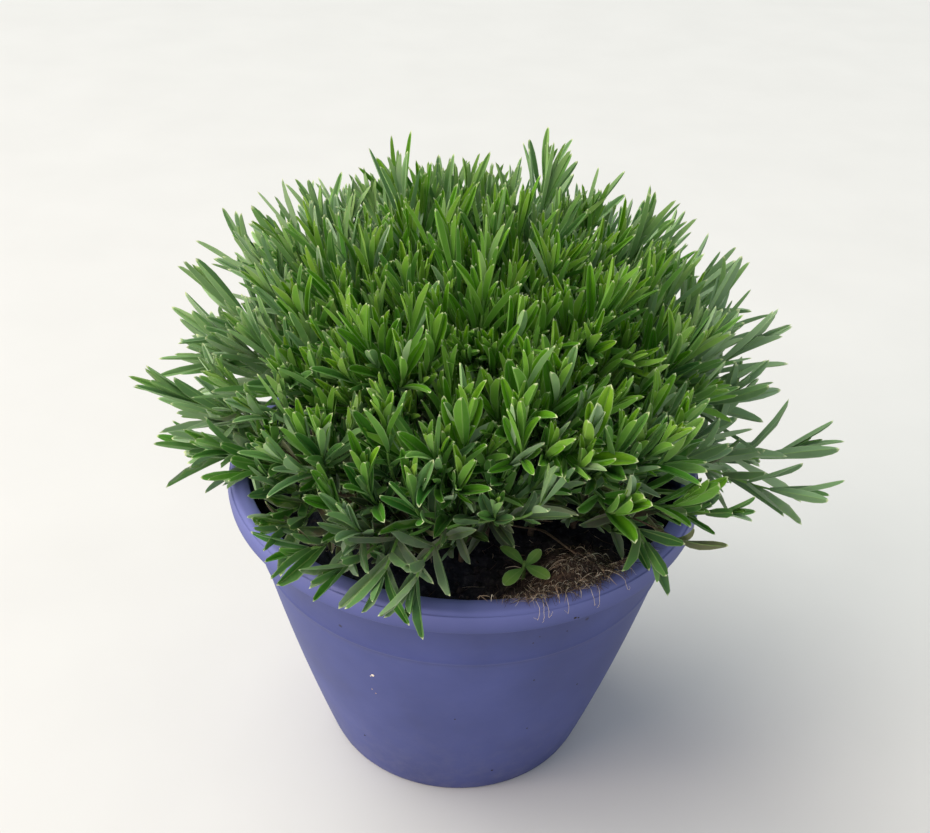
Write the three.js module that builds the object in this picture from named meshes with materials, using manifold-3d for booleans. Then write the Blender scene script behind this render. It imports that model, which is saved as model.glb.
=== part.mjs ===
// Potted lavender: a leafy clump, not yet in flower, in a moulded plastic growing pot.
// Millimetres, +Z up. The origin is on the pot's axis, on the surface that the pot stands on.
// +X is to the right and +Y points away from whoever looks at the front of the pot.
import * as THREE from "three";
import { mergeVertices } from "three/addons/utils/BufferGeometryUtils.js";
import Module from "manifold-3d";

const wasm = await Module();
wasm.setup();

// Pot
const potHeight = 183;
const rimRadius = 130;
const lipInnerRadius = 118.8;
const lipOuterRadius = 127.5;
const lipDrop = 4.6;
const lipFlat = 2;
const lipEdge = 1;
const rimWidestDrop = 7;
const bandHeight = 15.1;
const bandFootRadius = 126.8;
const shoulderRadius = 120.9;
const baseRadius = 78.2;
const wallBulge = 2.7;
const wallThickness = 2.3;
const stackRingHeight = 136.5;
const wallHeights = [stackRingHeight / 3, (2 * stackRingHeight) / 3, stackRingHeight];
const stackRingRelief = 0.7;
const stackRingHalfWidth = 1.2;
const baseDiscRadius = 20;
const footRingInner = 66;
const footRise = 3;
const footSlope = 2;
const floorThickness = 2.4;
const drainHoleCount = 8;
const drainHoleRadius = 5;
const drainHoleCircle = 43;
const drainHoleSides = 8;
const roundSegments = 32;

// Potting mix
const soilGap = 0.3;
const soilBottom = footRise + floorThickness + soilGap;
const soilLevel = 163;
const soilMound = 8;
const heapRise = 14;
const heapSpread = 30;
const heapX = 62;
const heapY = -90;
const holeDepth = 18;
const stemCollar = 3;
const holeSides = 6;
const soilRings = 4;
const edgeWidth = 1;

// Dome of foliage that the shoot tips reach
const domeCentre = new THREE.Vector3(-3, 0, 190);
const domeRadius = 188;
const domeRise = 166;
const tipInset = 26;
const skirtAngle = 1.57;
const skirtStart = 1.2;
const skirtEnd = 1.55;
const sprayDrop = 0.14;
const sprayDropFocus = 6;
const sprayLength = 34;
const sprayFocus = 12;
const leftTrim = 16;
const leftTrimFocus = 2;
const openingAzimuth = -1.3;
const openingDepth = 95;
const openingFocus = 1.7;
const openingStart = 0.95;
const openingEnd = 1.5;
const leanShare = 0.62;
const leanGain = 0.12;

// Leafy stems
const plantSeed = 7;
const seedStride = 1000;
const sideSeed = 100;
const sideSeedStride = 16;
const leafSeed = 900;
const stemCount = 40;
const crownSpread = 74;
const crownSplay = 0.35;
const stemTurnWander = 0.2;
const stemInsetWander = 16;
const stemInsetMiddle = 0.35;
const sideShootCount = 7;
const builtSideShoots = 2;
const sideStartLeast = 0.4;
const sideStartRange = 0.34;
const sideSpreadLeast = 20;
const sideSpreadRange = 22;
const sideTurnWander = 0.7;
const sideInset = 4;
const sideInsetRange = 22;
const leastRing = 0.35;
const liftStep = 4;
const liftLimit = 60;
const rimMargin = 5;
const rimSamples = 12;
const frameStrides = 16;
const stemRadius = 1.7;
const sideRadius = 1.1;
const shootTipRadius = 0.85;
const budLength = 2;
const stemSteps = 4;
const sideSteps = 2;
const startHandle = 0.38;
const tipHandle = 0.36;
const goldenAngle = Math.PI * (3 - Math.sqrt(5));
const clearance = 0.35;
const finest = 1e-4;
const coarsest = 1e-3;

// Leaves, in opposite pairs counted back from the tip of a shoot
const leafThickness = 1.3;
const leafArch = 0.09;
const rootDepth = 0.1;
const fullOutline = [
  [0.36, 0.86],
  [0.7, 1],
];
const slimOutline = [[0.56, 1]];
const topPair = { back: 4, length: 32, width: 5, opening: 16, outline: fullOutline };
const stemPairs = [
  topPair,
  { back: 13, length: 38, width: 5.8, opening: 27, outline: slimOutline },
  { back: 25, length: 42, width: 6.4, opening: 38, outline: slimOutline },
];
const sidePairs = [
  { ...topPair, outline: slimOutline },
  { back: 13, length: 37, width: 5.8, opening: 30, outline: slimOutline },
];
const leavesOnSide = 3;
const leastSize = 0.94;
const sizeRange = 0.12;
const lowestLeaf = 0.15;
const leafSwings = [0, 0.35, -0.35, 0.7, -0.7, 1.05, -1.05];

// Young shoot at the front
const youngX = 31;
const youngY = -92;
const youngHeight = 11;
const youngRadius = 1.3;
const youngPairs = [
  { back: 2, length: 15, width: 8.5, opening: 52, outline: fullOutline },
  { back: 5, length: 17, width: 9, opening: 68, outline: fullOutline },
];

const potPlastic = new THREE.MeshStandardMaterial({ color: 0x52578a, roughness: 0.55, metalness: 0 });
const pottingMix = new THREE.MeshStandardMaterial({ color: 0x2e231b, roughness: 0.95, metalness: 0 });
const foliage = new THREE.MeshStandardMaterial({ color: 0x447628, roughness: 0.6, metalness: 0 });

const upward = new THREE.Vector3(0, 0, 1);

// Seeded draw of numbers from 0 to 1
function seeded(seed) {
  let state = seed | 0;
  return () => {
    state = (state + 0x6d2b79f5) | 0;
    let mixed = Math.imul(state ^ (state >>> 15), 1 | state);
    mixed = (mixed + Math.imul(mixed ^ (mixed >>> 7), 61 | mixed)) ^ mixed;
    return ((mixed ^ (mixed >>> 14)) >>> 0) / 4294967296;
  };
}

// Solids from closed geometries, and back
function toSolid(geometry, weld = finest) {
  const bare = new THREE.BufferGeometry();
  bare.setAttribute("position", geometry.getAttribute("position"));
  bare.setIndex(geometry.getIndex());
  const merged = mergeVertices(bare, weld);
  return new wasm.Manifold(
    new wasm.Mesh({
      numProp: 3,
      vertProperties: new Float32Array(merged.attributes.position.array),
      triVerts: new Uint32Array(merged.index.array),
    }),
  );
}

function toGeometry(solid) {
  const mesh = solid.getMesh();
  const geometry = new THREE.BufferGeometry();
  geometry.setAttribute("position", new THREE.BufferAttribute(mesh.vertProperties, 3));
  geometry.setIndex(new THREE.BufferAttribute(mesh.triVerts, 1));
  geometry.computeVertexNormals();
  return geometry;
}

// A body drawn through sections of equal point count, from a heel point to a tip point
function loft(heel, sections, tip) {
  const points = [...sections.flat(), heel, tip];
  const count = sections[0].length;
  const faces = [];
  for (let k = 0; k < count; k++) {
    faces.push(points.length - 2, (k + 1) % count, k);
  }
  sections.forEach((section, row) => {
    const last = row === sections.length - 1;
    for (let k = 0; k < count; k++) {
      const a = row * count + k;
      const b = row * count + ((k + 1) % count);
      if (last) {
        faces.push(a, b, points.length - 1);
      } else {
        faces.push(a, b, b + count, a, b + count, a + count);
      }
    }
  });
  const geometry = new THREE.BufferGeometry().setFromPoints(points);
  geometry.setIndex(faces);
  return geometry;
}

// Pot wall
function outerRadius(z) {
  const share = z / (potHeight - bandHeight);
  return baseRadius + (shoulderRadius - baseRadius) * share + 4 * wallBulge * share * (1 - share);
}

function innerRadius(z) {
  return outerRadius(Math.min(z, potHeight - bandHeight)) - wallThickness;
}

function potProfile() {
  const bandFoot = potHeight - bandHeight;
  const outline = [
    [0, 0],
    [baseDiscRadius, 0],
    [baseDiscRadius + footSlope, footRise],
    [footRingInner - footSlope, footRise],
    [footRingInner, 0],
    [baseRadius, 0],
  ];
  for (const z of wallHeights.slice(0, -1)) {
    outline.push([outerRadius(z), z]);
  }
  for (const side of [-1, 0, 1]) {
    const z = stackRingHeight + side * stackRingHalfWidth;
    outline.push([outerRadius(z) + (side === 0 ? stackRingRelief : 0), z]);
  }
  outline.push(
    [shoulderRadius, bandFoot],
    [bandFootRadius, bandFoot],
    [rimRadius, potHeight - rimWidestDrop],
    [lipOuterRadius, potHeight - lipDrop / 2],
    [lipInnerRadius + lipFlat, potHeight],
    [lipInnerRadius, potHeight - lipEdge],
    [innerRadius(bandFoot), bandFoot],
  );
  for (const z of wallHeights.toReversed()) {
    outline.push([innerRadius(z), z]);
  }
  outline.push(
    [innerRadius(floorThickness), floorThickness],
    [footRingInner, floorThickness],
    [footRingInner - footSlope, footRise + floorThickness],
    [baseDiscRadius + footSlope, footRise + floorThickness],
    [baseDiscRadius, floorThickness],
    [0, floorThickness],
  );
  return outline.map(([r, z]) => new THREE.Vector2(r, z));
}

// A lathe turned so that its axis is Z
function turned(profile, segments) {
  return new THREE.LatheGeometry(profile, segments).rotateX(Math.PI / 2);
}

function drainHole(index) {
  const angle = (2 * Math.PI * index) / drainHoleCount;
  const plug = new THREE.CylinderGeometry(drainHoleRadius, drainHoleRadius, 4 * footRise, drainHoleSides);
  plug.rotateX(Math.PI / 2);
  plug.translate(drainHoleCircle * Math.cos(angle), drainHoleCircle * Math.sin(angle), footRise);
  return toSolid(plug);
}

function potSolid() {
  let pot = toSolid(turned(potProfile(), roundSegments));
  for (let k = 0; k < drainHoleCount; k++) {
    pot = pot.subtract(drainHole(k));
  }
  return pot;
}

// Potting mix: its top is a low mound with a heap at the front right
function soilHeight(x, y) {
  const across = Math.hypot(x, y) / lipInnerRadius;
  const fromHeap = Math.hypot(x - heapX, y - heapY) / heapSpread;
  return soilLevel + soilMound * (1 - across * across) + heapRise * Math.exp(-fromHeap * fromHeap);
}

function soilBlock() {
  const profile = [new THREE.Vector2(0, soilBottom)];
  for (const z of [soilBottom, ...wallHeights]) {
    profile.push(new THREE.Vector2(innerRadius(z) - soilGap, z));
  }
  for (let k = soilRings; k >= 0; k--) {
    profile.push(new THREE.Vector2((k / soilRings) * (innerRadius(soilLevel) - soilGap), soilLevel));
  }
  const block = turned(profile, roundSegments);
  const place = block.getAttribute("position");
  for (let k = 0; k < place.count; k++) {
    if (place.getZ(k) > soilLevel - edgeWidth) {
      const x = place.getX(k);
      const y = place.getY(k);
      const z = soilHeight(x, y);
      const onWall = Math.hypot(x, y) > innerRadius(soilLevel) - edgeWidth;
      const stretch = onWall ? (innerRadius(z) - soilGap) / (innerRadius(soilLevel) - soilGap) : 1;
      place.setXYZ(k, x * stretch, y * stretch, z);
    }
  }
  return toSolid(block);
}

function stemHole({ start, radius }) {
  const bore = (radius + clearance) / Math.cos(Math.PI / holeSides);
  const plug = new THREE.CylinderGeometry(bore, bore, 2 * holeDepth, holeSides);
  plug.rotateX(Math.PI / 2);
  plug.translate(start.x, start.y, start.z - stemCollar);
  return toSolid(plug);
}

// Lowest polar angle of the foliage: a spray at the right hangs lower than the rest
function skirt(azimuth) {
  return skirtAngle + sprayDrop * Math.max(0, Math.cos(azimuth)) ** sprayDropFocus;
}

// The low shoots reach further at the right, and less at the left and over the open soil at the front
function lowReach(polar, azimuth) {
  const spray = sprayLength * Math.max(0, Math.cos(azimuth)) ** sprayFocus;
  const trim = leftTrim * Math.max(0, -Math.cos(azimuth)) ** leftTrimFocus;
  const opening = openingDepth * Math.max(0, Math.cos(azimuth - openingAzimuth)) ** openingFocus;
  const low = THREE.MathUtils.smoothstep(polar, skirtStart, skirtEnd);
  return (spray - trim) * low - opening * THREE.MathUtils.smoothstep(polar, openingStart, openingEnd);
}

function domePoint(polar, azimuth, inset) {
  const reach = lowReach(polar, azimuth) - inset;
  return new THREE.Vector3(
    domeCentre.x + (domeRadius + reach) * Math.sin(polar) * Math.cos(azimuth),
    domeCentre.y + (domeRadius + reach) * Math.sin(polar) * Math.sin(azimuth),
    domeCentre.z + (domeRise + reach) * Math.cos(polar),
  );
}

// Shoots bend up towards the light, so they lean less than the dome's own slope
function leanDirection(polar, azimuth) {
  const lean = polar * (leanShare + leanGain * polar);
  return new THREE.Vector3(
    Math.sin(lean) * Math.cos(azimuth),
    Math.sin(lean) * Math.sin(azimuth),
    Math.cos(lean),
  );
}

// A shoot's line from where it starts to its tip, lifted until it passes over the rim
function shootCurve(start, startDirection, tip, tipDirection) {
  const span = start.distanceTo(tip);
  let lift = 0;
  let curve;
  do {
    curve = new THREE.CubicBezierCurve3(
      start,
      start.clone().addScaledVector(startDirection, startHandle * span).addScaledVector(upward, lift),
      tip.clone().addScaledVector(tipDirection, -tipHandle * span).addScaledVector(upward, lift),
      tip,
    );
    lift += liftStep;
  } while (lift < liftLimit && meetsRim(curve));
  return { curve, pace: 3 * tipHandle * span };
}

function meetsRim(curve) {
  for (let k = 1; k <= rimSamples; k++) {
    const point = curve.getPoint(k / rimSamples);
    const r = Math.hypot(point.x, point.y);
    if (r > lipInnerRadius - rimMargin && r < rimRadius + rimMargin && point.z < potHeight + rimMargin) {
      return true;
    }
  }
  return false;
}

function stemPlan(index) {
  const draw = seeded(plantSeed * seedStride + index);
  const share = (index + 0.5) / stemCount;
  const turn = index * goldenAngle;
  const azimuth = turn + stemTurnWander * (draw() - 0.5);
  const polar = Math.acos(1 - share * (1 - Math.cos(skirt(azimuth))));
  const inset = tipInset + stemInsetWander * (draw() - stemInsetMiddle);
  const holeRadius = crownSpread * Math.sqrt(share);
  const x = holeRadius * Math.cos(turn);
  const y = holeRadius * Math.sin(turn);
  const start = new THREE.Vector3(x, y, soilHeight(x, y) + stemCollar);
  const outward = new THREE.Vector3(Math.cos(turn), Math.sin(turn), 0);
  const leaving = upward.clone().addScaledVector(outward, crownSplay * share).normalize();
  const tip = domePoint(polar, azimuth, inset);
  const line = shootCurve(start, leaving, tip, leanDirection(polar, azimuth));
  return { index, start, polar, azimuth, ...line };
}

// A side shoot leaves its stem part of the way up and ends beside the stem's own tip
function sidePlan(stem, order) {
  const draw = seeded(plantSeed * seedStride + sideSeed + stem.index * sideSeedStride + order);
  const share = sideStartLeast + sideStartRange * draw();
  const start = stem.curve.getPoint(share);
  const along = stem.curve.getTangent(share);
  const spread = sideSpreadLeast + sideSpreadRange * Math.sqrt(draw());
  const around = order * goldenAngle + sideTurnWander * draw();
  const polarStep = (spread * Math.cos(around)) / domeRadius;
  const azimuthStep = (spread * Math.sin(around)) / (domeRadius * Math.max(leastRing, Math.sin(stem.polar)));
  const azimuth = stem.azimuth + azimuthStep;
  const polar = Math.min(Math.abs(stem.polar + polarStep), skirt(azimuth));
  const tip = domePoint(polar, azimuth, tipInset + sideInset + sideInsetRange * draw());
  return shootCurve(start, along, tip, leanDirection(polar, azimuth));
}

// Point on a shoot with unit vectors along and across it, carried on from the shoot's start without twist
function frameAt(curve, share) {
  let across = new THREE.Vector3(0, 1, 0).cross(curve.getTangent(0)).normalize();
  for (let k = 1; k <= frameStrides; k++) {
    const along = curve.getTangent((share * k) / frameStrides);
    across = across.clone().addScaledVector(along, -across.dot(along)).normalize();
  }
  const along = curve.getTangent(share);
  const aside = new THREE.Vector3().crossVectors(along, across);
  return { point: curve.getPoint(share), along, across, aside };
}

// Square section of a shoot, as on all plants of the mint family
function squareSection(frame, radius) {
  const section = [];
  for (let k = 0; k < 4; k++) {
    section.push(outwardAt(frame, (k * Math.PI) / 2, radius).add(frame.point));
  }
  return section;
}

function outwardAt(frame, turn, length) {
  const outward = frame.across.clone().multiplyScalar(length * Math.cos(turn));
  return outward.addScaledVector(frame.aside, length * Math.sin(turn));
}

function shootBody(curve, steps, radius, grown) {
  const sections = [];
  for (let k = 0; k <= steps; k++) {
    const thickness = THREE.MathUtils.lerp(radius, shootTipRadius, k / steps);
    sections.push(squareSection(frameAt(curve, k / steps), thickness + grown));
  }
  const tip = curve.getPoint(1).addScaledVector(curve.getTangent(1), budLength + grown);
  return { sections, tip };
}

// A shoot that stands in its hole in the soil, its foot just above the floor of the hole
function standingBody(start, body, radius) {
  const depth = stemCollar + holeDepth - soilGap;
  const frame = {
    point: start.clone().addScaledVector(upward, -depth),
    across: new THREE.Vector3(1, 0, 0),
    aside: new THREE.Vector3(0, 1, 0),
  };
  return toSolid(loft(frame.point, [squareSection(frame, radius), ...body.sections], body.tip));
}

function stemBody(stem, grown) {
  return standingBody(stem.start, shootBody(stem.curve, stemSteps, stemRadius, grown), stemRadius + grown);
}

function sideBody(side, grown) {
  const body = shootBody(side.curve, sideSteps, sideRadius, grown);
  const heel = side.curve.getPoint(0).addScaledVector(side.curve.getTangent(0), -grown);
  return toSolid(loft(heel, body.sections.slice(1), body.tip));
}

// Narrow blade from a pointed root, widest past its middle, flat above with a keel below
function bladeBody(root, along, wide, length, width, outline, grown) {
  const above = new THREE.Vector3().crossVectors(along, wide);
  const sections = outline.map(([share, fullness]) => {
    const middle = root
      .clone()
      .addScaledVector(along, share * length)
      .addScaledVector(above, -leafArch * length * share * share);
    const half = (fullness * width) / 2 + grown;
    return [
      middle.clone().addScaledVector(wide, half).addScaledVector(above, grown),
      middle.clone().addScaledVector(wide, -half).addScaledVector(above, grown),
      middle.clone().addScaledVector(above, -leafThickness * Math.sqrt(fullness) - grown),
    ];
  });
  const tip = root
    .clone()
    .addScaledVector(along, length + grown)
    .addScaledVector(above, -leafArch * length);
  return toSolid(loft(root, sections, tip));
}

// Leaf of one pair on a shoot, on one face of the square stem, swung to a side by some angle
function leafOn(shoot, pair, face, swing, size, grown) {
  const frame = frameAt(shoot.curve, Math.max(lowestLeaf, 1 - pair.back / shoot.pace));
  const outward = outwardAt(frame, ((face + 0.5) * Math.PI) / 2 + swing, 1);
  const wide = new THREE.Vector3().crossVectors(frame.along, outward);
  const opening = THREE.MathUtils.degToRad(pair.opening);
  const direction = frame.along
    .clone()
    .multiplyScalar(Math.cos(opening))
    .addScaledVector(outward, Math.sin(opening));
  const root = frame.point.addScaledVector(outward, -rootDepth);
  return bladeBody(root, direction, wide, pair.length * size, pair.width, pair.outline, grown);
}

// Whether a solid keeps clear of every other node
function meetsOthers(solid, nodes, own) {
  const box = solid.boundingBox();
  return nodes.some((node) => {
    if (node === own) {
      return false;
    }
    return node.solids.some((other) => {
      const otherBox = other.boundingBox();
      for (let axis = 0; axis < 3; axis++) {
        if (box.min[axis] > otherBox.max[axis] || box.max[axis] < otherBox.min[axis]) {
          return false;
        }
      }
      return solid.intersect(other).volume() > 0;
    });
  });
}

// A solid with its closest points welded together, or nothing if that opens or splits it
function welded(solid) {
  try {
    const whole = toSolid(toGeometry(solid).toNonIndexed(), coarsest);
    return whole.decompose().length === 1 ? whole : null;
  } catch {
    return null;
  }
}

// Whether a solid stays one body, with two faces at every edge, once its points are welded and rounded
function isSound(solid) {
  const whole = welded(solid);
  if (solid.decompose().length !== 1 || !whole) {
    return false;
  }
  const { vertProperties, triVerts } = whole.getMesh();
  const rounded = (corner) => {
    const place = vertProperties.subarray(3 * corner, 3 * corner + 3);
    return Array.from(place, (value) => Math.round(value / finest)).join();
  };
  const edges = new Map();
  for (let k = 0; k < triVerts.length; k += 3) {
    const corners = [0, 1, 2].map((step) => rounded(triVerts[k + step]));
    if (new Set(corners).size < 3) {
      continue;
    }
    corners.forEach((corner, step) => {
      const edge = [corner, corners[(step + 1) % 3]].sort().join(" ");
      edges.set(edge, (edges.get(edge) ?? 0) + 1);
    });
  }
  return [...edges.values()].every((faces) => faces === 2);
}

// Fuses a solid into a node's body, if the body stays sound
function joinTo(node, solid) {
  const joined = node.body.add(solid);
  if (!isSound(joined)) {
    return false;
  }
  node.body = joined;
  node.solids.push(solid);
  return true;
}

// A leaf that would cross another node is turned about its shoot, a step at a time, until it is clear
function addLeaf(node, shoot, pair, face, size, nodes) {
  for (const swing of leafSwings) {
    const room = leafOn(shoot, pair, face, swing, size, clearance);
    if (!meetsOthers(room, nodes, node) && joinTo(node, leafOn(shoot, pair, face, swing, size, 0))) {
      return;
    }
  }
}

// Each pair stands across the pair below it
function addShootLeaves(node, shoot, pairs, count, nodes, draw) {
  for (let k = 0; k < count; k++) {
    const order = Math.floor(k / 2);
    const size = leastSize + sizeRange * draw();
    addLeaf(node, shoot, pairs[order], order + 2 * (k % 2), size, nodes);
  }
}

function plantNodes() {
  const nodes = [];
  for (let index = 0; index < stemCount; index++) {
    const stem = stemPlan(index);
    const body = stemBody(stem, 0);
    nodes.push({ stem, start: stem.start, radius: stemRadius, body, solids: [body], shoots: [stem] });
  }
  for (const node of nodes) {
    for (let order = 0; order < sideShootCount && node.shoots.length <= builtSideShoots; order++) {
      const side = sidePlan(node.stem, order);
      if (!meetsOthers(sideBody(side, clearance), nodes, node) && joinTo(node, sideBody(side, 0))) {
        node.shoots.push(side);
      }
    }
  }
  return nodes;
}

function leafyStems(still) {
  const nodes = plantNodes();
  for (const node of nodes) {
    const draw = seeded(plantSeed * seedStride + leafSeed + node.stem.index);
    const others = [...still, ...nodes];
    const [main, ...sides] = node.shoots;
    addShootLeaves(node, main, stemPairs, 2 * stemPairs.length, others, draw);
    for (const side of sides) {
      addShootLeaves(node, side, sidePairs, leavesOnSide, others, draw);
    }
  }
  return nodes;
}

// Short upright shoot with two pairs of oval leaves
function youngShoot() {
  const start = new THREE.Vector3(youngX, youngY, soilHeight(youngX, youngY) + stemCollar);
  const tip = start.clone().addScaledVector(upward, youngHeight);
  const shoot = { curve: new THREE.LineCurve3(start, tip), pace: youngHeight };
  const stalk = standingBody(start, shootBody(shoot.curve, 1, youngRadius, 0), youngRadius);
  const node = { start, radius: youngRadius, body: stalk, solids: [stalk] };
  for (let face = 0; face < 4; face++) {
    joinTo(node, leafOn(shoot, youngPairs[face % 2], face, 0, 1, 0));
  }
  return node;
}

function named(name, solid, material) {
  const mesh = new THREE.Mesh(toGeometry(solid), material);
  mesh.name = name;
  return mesh;
}

const part = new THREE.Group();
const pot = potSolid();
const block = soilBlock();
const young = youngShoot();
const stems = leafyStems([{ solids: [pot, block] }, young]);
const bored = [young, ...stems].reduce((soil, node) => soil.subtract(stemHole(node)), block);

part.add(named("pot", pot, potPlastic));
part.add(named("soil", bored, pottingMix));
part.add(named("young_shoot", young.body, foliage));
stems.forEach((node, index) => {
  const number = String(index + 1).padStart(2, "0");
  part.add(named("leafy_stem_" + number, node.body, foliage));
});

export default part;
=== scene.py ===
# Leafy lavender in a round plastic growing pot, dressed for a studio render.
import bpy
import itertools
import math
import numpy as np
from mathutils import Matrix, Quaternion, Vector, noise


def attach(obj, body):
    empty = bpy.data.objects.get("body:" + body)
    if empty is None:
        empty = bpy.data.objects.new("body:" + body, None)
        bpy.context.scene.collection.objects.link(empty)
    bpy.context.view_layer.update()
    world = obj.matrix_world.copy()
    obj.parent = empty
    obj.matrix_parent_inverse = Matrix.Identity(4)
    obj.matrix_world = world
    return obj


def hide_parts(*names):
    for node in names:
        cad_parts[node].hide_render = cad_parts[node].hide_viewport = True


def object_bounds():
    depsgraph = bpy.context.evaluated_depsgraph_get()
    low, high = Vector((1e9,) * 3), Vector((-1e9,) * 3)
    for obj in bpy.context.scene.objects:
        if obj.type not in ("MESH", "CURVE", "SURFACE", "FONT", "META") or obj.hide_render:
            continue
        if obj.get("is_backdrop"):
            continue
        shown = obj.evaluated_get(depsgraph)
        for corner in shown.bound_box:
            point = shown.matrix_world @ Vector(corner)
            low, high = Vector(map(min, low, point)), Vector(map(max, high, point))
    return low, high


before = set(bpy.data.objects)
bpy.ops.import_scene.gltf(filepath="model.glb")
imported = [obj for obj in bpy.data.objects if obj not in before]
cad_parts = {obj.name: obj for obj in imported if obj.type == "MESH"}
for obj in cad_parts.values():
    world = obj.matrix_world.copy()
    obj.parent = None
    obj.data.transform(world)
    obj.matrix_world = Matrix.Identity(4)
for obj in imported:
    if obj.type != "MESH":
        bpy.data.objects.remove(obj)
cadLow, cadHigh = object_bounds()
mm = 0.001
fullTurn = 2 * math.pi
goldenAngle = math.pi * (3 - math.sqrt(5))
upward = np.array([0.0, 0.0, 1.0])
print("frame loaded, box in mm:", [round(value / mm) for value in (*cadLow, *cadHigh)])

# Lengths in all the dictionaries are in millimetres.
# The camera looks down at the plant from the front, held a little off level
camera = {"place": (-0.8, -546.2, 562.6), "aim": (-0.8, 0, 208), "roll": 2.2, "lens": 46.45, "sensor": 36}

# Bright overcast: an even sky, brighter high at the left behind the plant, and a weak fill at the left
studio = {
    "sky": "#e8effb",
    "skyStrength": 0.55,
    "sun": {"from": (-600, 200, 980), "strength": 2.9, "spread": 70, "colour": "#fffcf2"},
    "fill": {"place": (-2300, -1250, 950), "size": 1700, "power": 45, "colour": "#ffe8de"},
    "floor": [(0.3, "#d9d9d5"), (0.7, "#dcdcd8")],
    "floorSize": 9000,
}


# Seeded draw of numbers from 0 to 1, the same as the solid plant grows by
def seededDraw(seed):
    state = seed
    whole = 0xFFFFFFFF

    def draw():
        nonlocal state
        state = (state + 0x6D2B79F5) & whole
        mixed = ((state ^ (state >> 15)) * (1 | state)) & whole
        mixed = ((mixed + (((mixed ^ (mixed >> 7)) * (61 | mixed)) & whole)) & whole) ^ mixed
        return (mixed ^ (mixed >> 14)) / (whole + 1)

    return draw


def unit(vectors):
    return vectors / np.maximum(np.linalg.norm(vectors, axis=-1, keepdims=True), 1e-9)


def smoothstep(value, low, high):
    share = np.clip((value - low) / (high - low), 0, 1)
    return share * share * (3 - 2 * share)


# A value at a share of the way between two limits
def between(limits, share):
    return limits[0] + (limits[1] - limits[0]) * share


# Points evenly round a circle of radius 1
def circle(count):
    turns = np.arange(count) * fullTurn / count
    return np.stack([np.cos(turns), np.sin(turns), np.zeros(count)], -1)


# Triangles of a closed body made of rings, numbered from "first", with one more point to close each end
def ringFaces(rings, size, first, heel, tip, step=1):
    k = np.arange(size)
    n = (k + step) % size
    a = first + size * np.arange(rings - 1)[:, None] + k
    b = a - k + n
    last = first + size * (rings - 1)
    ends = [(0 * k + heel, first + n, first + k), (0 * k + tip, last + k, last + n)]
    walls = [(a, b, b + size), (a, b + size, a + size)]
    return np.concatenate([np.stack([column.ravel() for column in face], -1) for face in ends + walls])


# The same triangles for each of several bodies of one size
def repeated(faces, count, size):
    return (faces[None] + size * np.arange(count)[:, None, None]).reshape(-1, 3)


def toLinear(hexColour):
    channels = [int(hexColour[k : k + 2], 16) / 255 for k in (1, 3, 5)]
    return [c / 12.92 if c <= 0.04045 else ((c + 0.055) / 1.055) ** 2.4 for c in channels] + [1]


# Adds a node: a setting is a socket, a property or the ramp, a link joins a socket to a node's first output
def addNode(tree, kind, settings=None, links=None):
    node = tree.nodes.new("ShaderNode" + kind)
    for name, value in (settings or {}).items():
        if name == "ramp":
            stops = node.color_ramp.elements
            while len(stops) < len(value):
                stops.new(1)
            for stop, (place, colour) in zip(stops, value):
                stop.position = place
                stop.color = toLinear(colour)
        elif isinstance(name, int) or name in node.inputs:
            node.inputs[name].default_value = value
        else:
            setattr(node, name, value)
    for name, source in (links or {}).items():
        tree.links.new(getattr(source, "outputs", [source])[0], node.inputs[name])
    return node


def newMaterial(name):
    material = bpy.data.materials.new(name)
    material.use_nodes = True
    material.node_tree.nodes.clear()
    place = addNode(material.node_tree, "TexCoord").outputs["Object"]
    return material, material.node_tree, place


# A mesh from arrays of points in millimetres and triangles, with a value for each point under each name
def meshPiece(name, points, triangles, materials, values=None, materialIndex=None, sharpAngle=60):
    mesh = bpy.data.meshes.new(name)
    mesh.vertices.add(len(points))
    mesh.vertices.foreach_set("co", (np.asarray(points, float) * mm).astype(np.float32).ravel())
    mesh.loops.add(3 * len(triangles))
    mesh.loops.foreach_set("vertex_index", np.asarray(triangles, np.int32).ravel())
    mesh.polygons.add(len(triangles))
    mesh.polygons.foreach_set("loop_start", np.arange(0, 3 * len(triangles), 3, dtype=np.int32))
    mesh.update(calc_edges=True)
    for material in materials:
        mesh.materials.append(material)
    if materialIndex is not None:
        mesh.polygons.foreach_set("material_index", np.asarray(materialIndex, np.int32))
    mesh.polygons.foreach_set("use_smooth", np.ones(len(triangles), bool))
    for key, column in (values or {}).items():
        mesh.attributes.new(key, "FLOAT", "POINT").data.foreach_set("value", column.astype(np.float32))
    mesh.set_sharp_from_angle(angle=math.radians(sharpAngle))
    mesh.validate()
    piece = bpy.data.objects.new(name, mesh)
    bpy.context.scene.collection.objects.link(piece)
    return piece


def setCamera():
    data = bpy.data.cameras.new("frontCamera")
    data.sensor_width = camera["sensor"]
    data.lens = camera["lens"]
    held = bpy.data.objects.new("frontCamera", data)
    held.location = Vector(camera["place"]) * mm
    view = (Vector(camera["aim"]) * mm - held.location).to_track_quat("-Z", "Y")
    held.rotation_mode = "QUATERNION"
    held.rotation_quaternion = view @ Quaternion((0, 0, 1), math.radians(camera["roll"]))
    bpy.context.scene.collection.objects.link(held)
    bpy.context.scene.camera = held


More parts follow.
